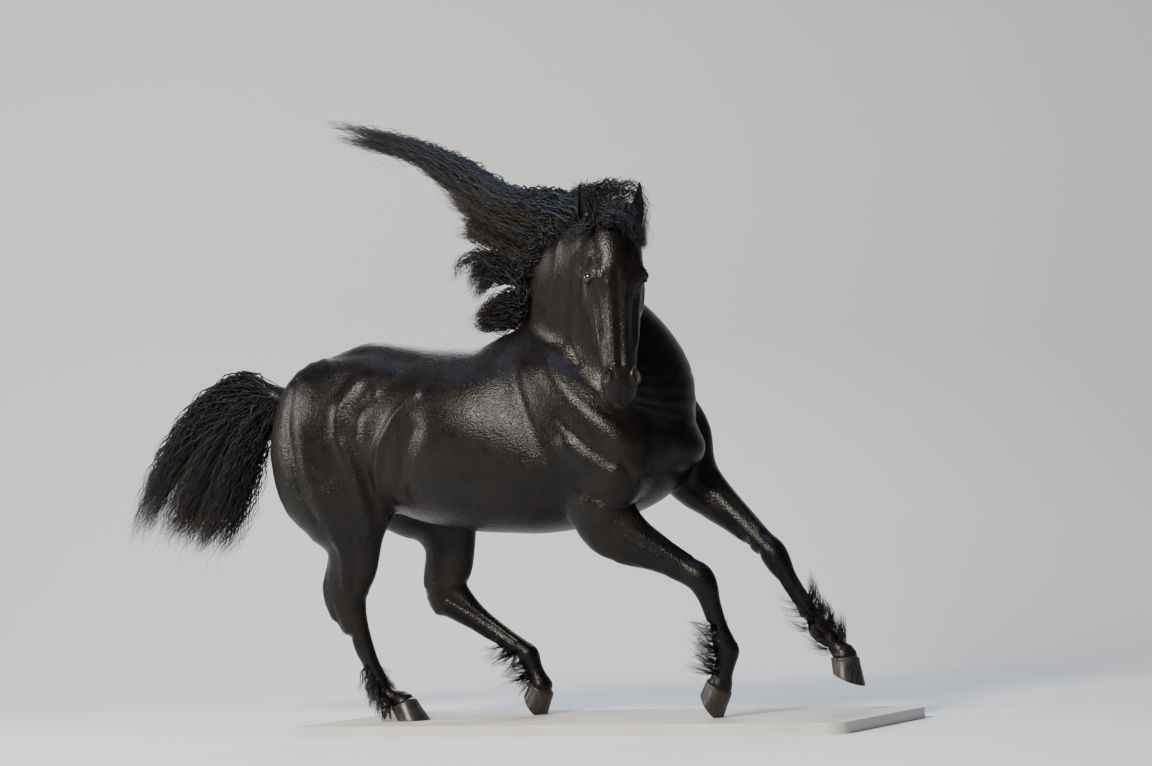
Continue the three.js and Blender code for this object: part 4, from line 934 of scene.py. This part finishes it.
rng = np.random.default_rng(mane["seed"])
for number, (count, strands, samples, roots, upper, lower) in enumerate(mane["sheets"]):
    guides = sheetGuides(rng, count, roots, upper, lower)
    addHair("mane_" + str(number + 1), 1, rng, guides, pathLengths(guides), {**mane, "strands": strands},
            (6, 13, 15, 13, 11, 9, 5), samples)

# tail: locks rooted on the dock that arch back and fall
tail = {
    "seed": 19, "guides": 104, "strands": 22, "width": 8.5, "wave": 12, "waveLength": 120, "sway": 84,
    "outer": [[-1480, -92, 1358], [-1700, -80, 1270], [-1900, -60, 1075], [-2086, -40, 762]],
    "inner": [[-1400, -92, 1170], [-1450, -84, 1050], [-1530, -70, 860], [-1640, -50, 672]],
}
rng = np.random.default_rng(tail["seed"])
count = tail["guides"]
share = rng.uniform(0, 1, count)[:, None, None]
outer, inner = np.array(tail["outer"], float)[None], np.array(tail["inner"], float)[None]
path = outer + (inner - outer) * share
path[..., 1] += rng.uniform(-1, 1, (count, 1)) * tail["sway"] * np.arange(1, 5) / 4
path[:, -1] = path[:, -2] + (path[:, -1] - path[:, -2]) * rng.uniform(.8, 1.02, (count, 1))
dock = resample(dockRows, 16)
at = dock[(rng.uniform(.12, .62, count) * len(dock)).astype(int), :3]
around = rng.uniform(0, 2 * np.pi, count)
root = at + np.stack([np.zeros(count), np.cos(around), np.sin(around)], 1) * 22
guides = np.concatenate([root[:, None], path], 1)
addHair("tail", 2, rng, guides, pathLengths(guides), tail, (5, 18, 20, 17, 10), 24)

# forelock: over the poll to the left ear, with thin locks across the brow
forelock = {
    "seed": 5, "strands": 17, "width": 5, "wave": 9, "waveLength": 62,
    "sweeps": [
        (6, [[-186, -62, -6], [-322, -83, -52], [-353, -46, -14], [-337, -11, 25], [-329, 20, 79],
             [-278, 31, 110], [-158, 33, 122]],
         [[-184, -40, 22], [-252, -64, -20], [-271, -35, 4], [-261, -9, 38], [-230, 9, 71],
          [-184, 17, 96], [-108, 22, 111]]),
        (9, [[-184, -50, -14], [-255, -33, -26], [-266, -16, 0], [-258, 9, 29], [-232, 26, 65],
             [-178, 28, 90], [-102, 30, 108]],
         [[-180, -30, -20], [-203, 15, -32], [-209, 30, -14], [-210, 48, 14], [-191, 58, 50],
          [-155, 60, 80], [-80, 59, 99]]),
        (13, [[-186, -34, -30], [-201, 42, -28], [-208, 61, 3], [-179, 72, 43], [-134, 75, 80],
              [-90, 74, 99]],
         [[-182, -28, -30], [-178, 45, -33], [-182, 64, 9], [-155, 68, 38], [-119, 69, 71], [-83, 67, 89]]),
        (14, [[-190, -76, -10], [-302, -60, -32], [-338, -85, -63], [-345, -124, -95],
              [-331, -170, -126], [-324, -225, -161]],
         [[-188, -76, -24], [-252, -70, -42], [-275, -90, -66], [-287, -129, -96], [-284, -177, -132],
          [-278, -234, -171]]),
        (3, [[-178, -24, -60], [-186, 22, -86], [-177, 2, -111], [-166, -22, -135], [-153, -47, -160],
             [-134, -70, -178]],
         [[-176, -20, -56], [-177, 29, -78], [-167, 12, -103], [-154, -11, -128], [-137, -31, -147],
          [-111, -50, -161]]),
    ],
}
rng = np.random.default_rng(forelock["seed"])
for number, (count, start, end) in enumerate(forelock["sweeps"]):
    start, end = np.array(start, float), np.array(end, float)
    guides = onHead(start + (end - start) * rng.uniform(0, 1, (count, 1, 1)))
    spread = (6, 9, 10, 10, 9, 8, 5)[:guides.shape[1]]
    addHair("forelock_" + str(number + 1), 1, rng, guides, pathLengths(guides), forelock, spread, 26)

# feathers: rooted round each fetlock and up the tendon, flung the way the foot moves
feather = {
    "seed": 11, "length": 104, "strands": 9, "width": 3, "wave": 4, "waveLength": 70,
    "legs": {  # lift along the leg, share of locks on the front, locks
        "foreleg_right": (.25, 0, 74), "foreleg_left": (.9, .62, 88),
        "hindleg_right": (-.75, 0, 74), "hindleg_left": (.1, 0, 74),
    },
}
for name, (lift, front, count) in feather["legs"].items():
    rng = np.random.default_rng(feather["seed"] + count + len(name))
    rows = np.array(legRows[name]["limb"])[:, :3]
    above, below = rows[-6], rows[-2]
    down = unit(below - above)
    back = unit(np.cross(down, [0, 1., 0]))
    back *= -np.sign(back[0])
    around = rng.uniform(-1.5, 1.5, count) + np.where(rng.uniform(0, 1, count) < front, np.pi, 0)
    out = back * np.cos(around)[:, None] + np.array([0, 1., 0]) * np.sin(around)[:, None]
    share = rng.uniform(0, 1, count)[:, None] ** .8
    root = ontoSkin(above + (below - above) * share + out * 34, 2) - out * 3
    length = feather["length"] * rng.uniform(.5, 1.12, count)[:, None]
    way = unit(-down * lift + out * .5 + rng.normal(0, .12, (count, 3)))
    guides = np.stack([root, root + out * 12 + way * length * .15, root + out * 17 + way * length * .5,
                       root + out * 8 + way * length], 1)
    guides[..., 2] = np.maximum(guides[..., 2], baseThick + 6)
    addHair("feather_" + name, 1, rng, guides, length[:, 0], feather, (3, 4, 5, 5), 8, facing=(.1, .3, 1))
print("hair grown", sum(len(obj.data.polygons) for obj in hair))


class Value:  # a socket that takes part in sums
    def __init__(self, shader, socket):
        self.shader, self.socket = shader, socket

    def sum(self, operation, other, swapped=False):
        first, second = (other, self) if swapped else (self, other)
        return self.shader.node("ShaderNodeMath", {"operation": operation}, {0: first, 1: second})

    def __add__(self, other): return self.sum("ADD", other)
    def __radd__(self, other): return self.sum("ADD", other)
    def __sub__(self, other): return self.sum("SUBTRACT", other)
    def __rsub__(self, other): return self.sum("SUBTRACT", other, True)
    def __mul__(self, other): return self.sum("MULTIPLY", other)
    def __rmul__(self, other): return self.sum("MULTIPLY", other)
    def __truediv__(self, other): return self.sum("DIVIDE", other)
    def __pow__(self, other): return self.sum("POWER", other)


class Shader:
    def __init__(self, name, settings):
        self.material = bpy.data.materials.new(name)
        self.material.use_nodes = True
        self.tree = self.material.node_tree
        self.surface = self.tree.nodes["Principled BSDF"]
        for key, value in settings.items():
            self.surface.inputs[key].default_value = value

    def node(self, kind, settings=None, inputs=None, output=0):
        node = self.tree.nodes.new(kind)
        for key, value in (settings or {}).items():
            setattr(node, key, value)
        for key, value in (inputs or {}).items():
            if isinstance(value, Value):
                self.tree.links.new(value.socket, node.inputs[key])
            else:
                node.inputs[key].default_value = value
        return Value(self, node.outputs[output])

    def set(self, **links):
        for key, value in links.items():
            self.tree.links.new(value.socket, self.surface.inputs[key.replace("_", " ")])

    def noise(self, at, scale, detail):
        return self.node("ShaderNodeTexNoise", None, {"Vector": at, "Scale": scale, "Detail": detail})

    def place(self, scale=(1, 1, 1), turn=(0, 0, 0)):
        here = self.node("ShaderNodeTexCoord", output=3)
        return self.node("ShaderNodeMapping", None, {"Vector": here, "Scale": scale, "Rotation": turn})

    def attribute(self, name, output=2):
        return self.node("ShaderNodeAttribute", {"attribute_name": name}, output=output)

    def range(self, value, low, high, start=0.0, end=1.0):
        return self.node("ShaderNodeMapRange", {"interpolation_type": "SMOOTHSTEP"},
                         {"Value": value, "From Min": low, "From Max": high, "To Min": start, "To Max": end})

    def mix(self, factor, a, b):
        return self.node("ShaderNodeMix", {"data_type": "RGBA"}, {0: factor, 6: a, 7: b}, output=2)

    def bump(self, height, strength, distance):
        inputs = {"Height": height, "Strength": strength, "Distance": distance}
        return self.node("ShaderNodeBump", None, inputs)


coatLook = {
    "dark": (.0028, .0024, .0022, 1), "warm": (.0088, .0060, .0044, 1), "soft": (.040, .026, .024, 1),
    "roughness": (.25, .38), "streak": 1, "depth": .0026,
}


def coatMaterial():
    s = Shader("coat", {"Specular IOR Level": .17})
    legs, neckShare = s.attribute("leg"), s.attribute("neckward")
    body = s.noise(s.place((70, 210, 210)), 1, 2)
    upright = s.noise(s.place((220, 220, 70)), 1, 2)
    slant = s.noise(s.place((210, 210, 70), (0, math.radians(-38), 0)), 1, 2)
    streak = body * (1 - legs) + upright * legs
    streak = streak * (1 - neckShare) + slant * neckShare
    broad = s.noise(s.place(), 2.6, 3)
    mottled = s.noise(s.place(), 22, 2)
    warm = s.range(broad * .7 + mottled * .3, .38, .68)
    colour = s.mix(warm * .8, coatLook["dark"], coatLook["warm"])
    colour = s.mix(s.attribute("bare"), colour, coatLook["soft"])
    specks = s.noise(s.place(), 150, 1)
    rough = s.range(streak * .6 + mottled * .4, .3, .7, *coatLook["roughness"])
    s.set(Base_Color=colour, Roughness=rough - s.attribute("bare") * .12,
          Normal=s.bump(streak * .45 + specks * .55, coatLook["streak"], coatLook["depth"]))
    return s.material


hairLook = {
    "dark": (.0028, .0026, .0027, 1), "light": (.011, .0092, .0082, 1), "tips": (.017, .0115, .0080, 1),
}


def hairMaterial():
    s = Shader("long_hair", {"Specular IOR Level": .3, "Anisotropic": .4})
    uv = s.node("ShaderNodeUVMap", {"uv_map": "strand"})
    grain = s.noise(s.node("ShaderNodeMapping", None, {"Vector": uv, "Scale": (3, 26, 1)}), 1, 3)
    tone, reach = s.attribute("tone"), s.attribute("reach")
    colour = s.mix(s.range(tone * .6 + grain * .4, .3, .8), hairLook["dark"], hairLook["light"])
    colour = s.mix(s.range(reach * .7 + tone * .3, .62, 1) * .7, colour, hairLook["tips"])
    s.set(Base_Color=colour, Roughness=s.range(grain, .3, .7, .26, .42), Normal=s.bump(grain, .35, .001))
    return s.material


def hoofMaterial():
    s = Shader("horn", {"Specular IOR Level": .45})
    rings = s.noise(s.place((6, 6, 210)), 1, 2)
    grain = s.noise(s.place((150, 150, 18)), 1, 2)
    dust = s.range(s.noise(s.place(), 16, 3), .45, .75)
    low = 1 - s.range(s.node("ShaderNodeSeparateXYZ", None, {0: s.place()}, 2), .04, .12)
    colour = s.mix(s.range(grain, .35, .7), (.010, .0085, .0075, 1), (.030, .025, .021, 1))
    colour = s.mix(dust * low * .35, colour, (.11, .09, .068, 1))
    s.set(Base_Color=colour, Roughness=s.range(grain * .5 + dust * .5, .2, .8, .34, .62),
          Normal=s.bump(rings * .6 + grain * .4, .4, .002))
    return s.material


def eyeMaterial():
    s = Shader("eye", {"Roughness": .08, "Specular IOR Level": .4, "Coat Weight": .35, "Coat Roughness": .03})
    spot = s.attribute("place", 1)
    apart = [s.node("ShaderNodeSeparateXYZ", None, {0: spot}, n) for n in range(3)]
    ring = (apart[0] * apart[0] + apart[1] * apart[1]) ** .5
    pupil = ((apart[0] / 1.9) * (apart[0] / 1.9) + apart[1] * apart[1]) ** .5
    front = s.range(apart[2], 0, .2)
    iris = s.mix(s.range(s.noise(spot, 22, 3), .35, .7), (.010, .0045, .0025, 1), (.024, .011, .006, 1))
    colour = s.mix(s.range(ring, .62, .72), iris, (.009, .006, .005, 1))
    colour = s.mix((1 - s.range(pupil, .17, .22)) * front, colour, (.002, .0015, .002, 1))
    colour = s.mix(s.range(ring, .84, .95), colour, (.030, .018, .014, 1))
    s.set(Base_Color=colour)
    return s.material


def baseMaterial():
    s = Shader("base_board", {"Specular IOR Level": .35})
    fine, broad = s.noise(s.place(), 260, 2), s.noise(s.place(), 5, 3)
    colour = s.mix(s.range(broad, .35, .65), (.47, .455, .43, 1), (.53, .515, .49, 1))
    colour = s.mix(s.range(fine, .55, .7) * .35, colour, (.40, .385, .36, 1))
    s.set(Base_Color=colour, Roughness=s.range(broad * .5 + fine * .5, .3, .7, .5, .68),
          Normal=s.bump(fine, .15, .0006))
    return s.material


# where the coat's material changes: legs, neck and bare skin at the nostrils
points = readPoints(coat.data)
local = toHead(points)
legShare = np.zeros(len(points))
for name, path in legPoints.items():
    legShare = np.maximum(legShare, np.clip(1.6 - segmentDistance(points, path[2:]) / 110, 0, 1))
neckLine = np.array([(np.array(crest) + np.array(under)) / 2 for crest, under, *_ in neckRows[1:]])
neckDistance = segmentDistance(points, neckLine)
neckShare = np.clip(1.9 - neckDistance / 160, 0, 1) * (1 - legShare)
bare = np.zeros(len(points))
for sign in (-1, 1):
    apart = np.linalg.norm((local - [352, 22, sign * 60]) / [24, 20, 18], axis=1)
    bare = np.maximum(bare, np.exp(-apart ** 2))
storeValues(coat.data, leg=legShare, neckward=neckShare, bare=bare)

coatFinish, hairFinish, hornFinish, eyeFinish = coatMaterial(), hairMaterial(), hoofMaterial(), eyeMaterial()
for obj in [coat] + ears:
    obj.data.materials.append(coatFinish)
for obj in hair:
    obj.data.materials.append(hairFinish)
for obj in hooves:
    obj.data.materials.append(hornFinish)
for obj in eyes:
    obj.data.materials.append(eyeFinish)
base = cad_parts["stand_base"]
base.material_slots[0].material = baseMaterial()
print("materials made")

for obj in [coat] + ears + hooves + eyes + hair:
    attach(obj, "root")
fleshNodes = ["torso", "neck", "head"] + [f"{name}_{part}" for name in legRows for part in ("upper", "lower")]
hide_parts(*fleshNodes)
for obj, side in zip(ears, ("right", "left")):
    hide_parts("ear_" + side)
for obj, side in zip(eyes, ("right", "left")):
    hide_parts("eye_" + side)
for obj, name in zip(hooves, legRows):
    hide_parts(name + "_hoof")
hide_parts("tail")

# stage: a pale floor that sweeps up behind, and soft studio lights
studio = {
    "floor": (.74, .735, .72, 1), "world": (.62, .72, .88, 1), "worldStrength": .2,
    "near": -9, "bend": 3.6, "radius": 3, "top": 12, "side": 14,
    "lights": [  # name, place, aim, width, height, watts, colour
        ("key", (-.6, -7.4, 4.7), (-.1, -.2, 1.2), 1.7, 1.4, 1150, (1, .93, .83)),
        ("side", (-6.6, -3.2, 2.6), (-.6, -.1, 1.1), 1.4, 1.8, 330, (1, .94, .86)),
        ("rim", (-2.2, 4.4, 4.4), (-.2, 0, 1.4), 3.0, 1.4, 150, (.9, .94, 1)),
        ("top", (-.4, -.6, 5.4), (-.2, 0, 1.2), 3.6, 2.2, 170, (.50, .68, 1)),
    ],
}
near, bend, radius, top, side = (studio[key] for key in ("near", "bend", "radius", "top", "side"))
profile = [(near, 0), (bend, 0)]
for angle in np.linspace(.1, math.pi / 2, 12):
    profile.append((bend + radius * math.sin(angle), radius - radius * math.cos(angle)))
profile.append((bend + radius, top))
azimuth = math.radians(view["azimuth"])
backward = np.array([-math.sin(azimuth), math.cos(azimuth)])
sideways = np.array([backward[1], -backward[0]])
points = [[*(backward * d + sideways * w), z] for w in (-side, side) for d, z in profile]
count = len(profile)
quads = [[i, i + count, i + count + 1, i + 1] for i in range(count - 1)]
floor = meshObject("floor", np.array(points), np.array(quads), 1)
s = Shader("floor", {"Roughness": .85, "Specular IOR Level": .2, "Base Color": studio["floor"]})
away = s.node("ShaderNodeNewGeometry", output="Backfacing")  # seen from its back, the sweep is clear
clear = s.node("ShaderNodeBsdfTransparent", output="BSDF")
pale = Value(s, s.surface.outputs["BSDF"])
shown = s.node("ShaderNodeMixShader", None, {0: away, 1: pale, 2: clear})
s.tree.links.new(shown.socket, s.tree.nodes["Material Output"].inputs["Surface"])
floor.data.materials.append(s.material)
for name, spot, aim, wide, high, power, colour in studio["lights"]:
    bpy.ops.object.light_add(type="AREA", location=spot)
    light = bpy.context.object
    light.name = name
    light.visible_camera = False
    light.data.shape, light.data.size, light.data.size_y = "RECTANGLE", wide, high
    light.data.energy, light.data.color = power, colour
    light.rotation_euler = (Vector(aim) - Vector(spot)).to_track_quat("-Z", "Y").to_euler()
world = bpy.data.worlds.new("studio")
bpy.context.scene.world = world
world.use_nodes = True
world.node_tree.nodes["Background"].inputs["Color"].default_value = studio["world"]
world.node_tree.nodes["Background"].inputs["Strength"].default_value = studio["worldStrength"]
print("stage and lights set")
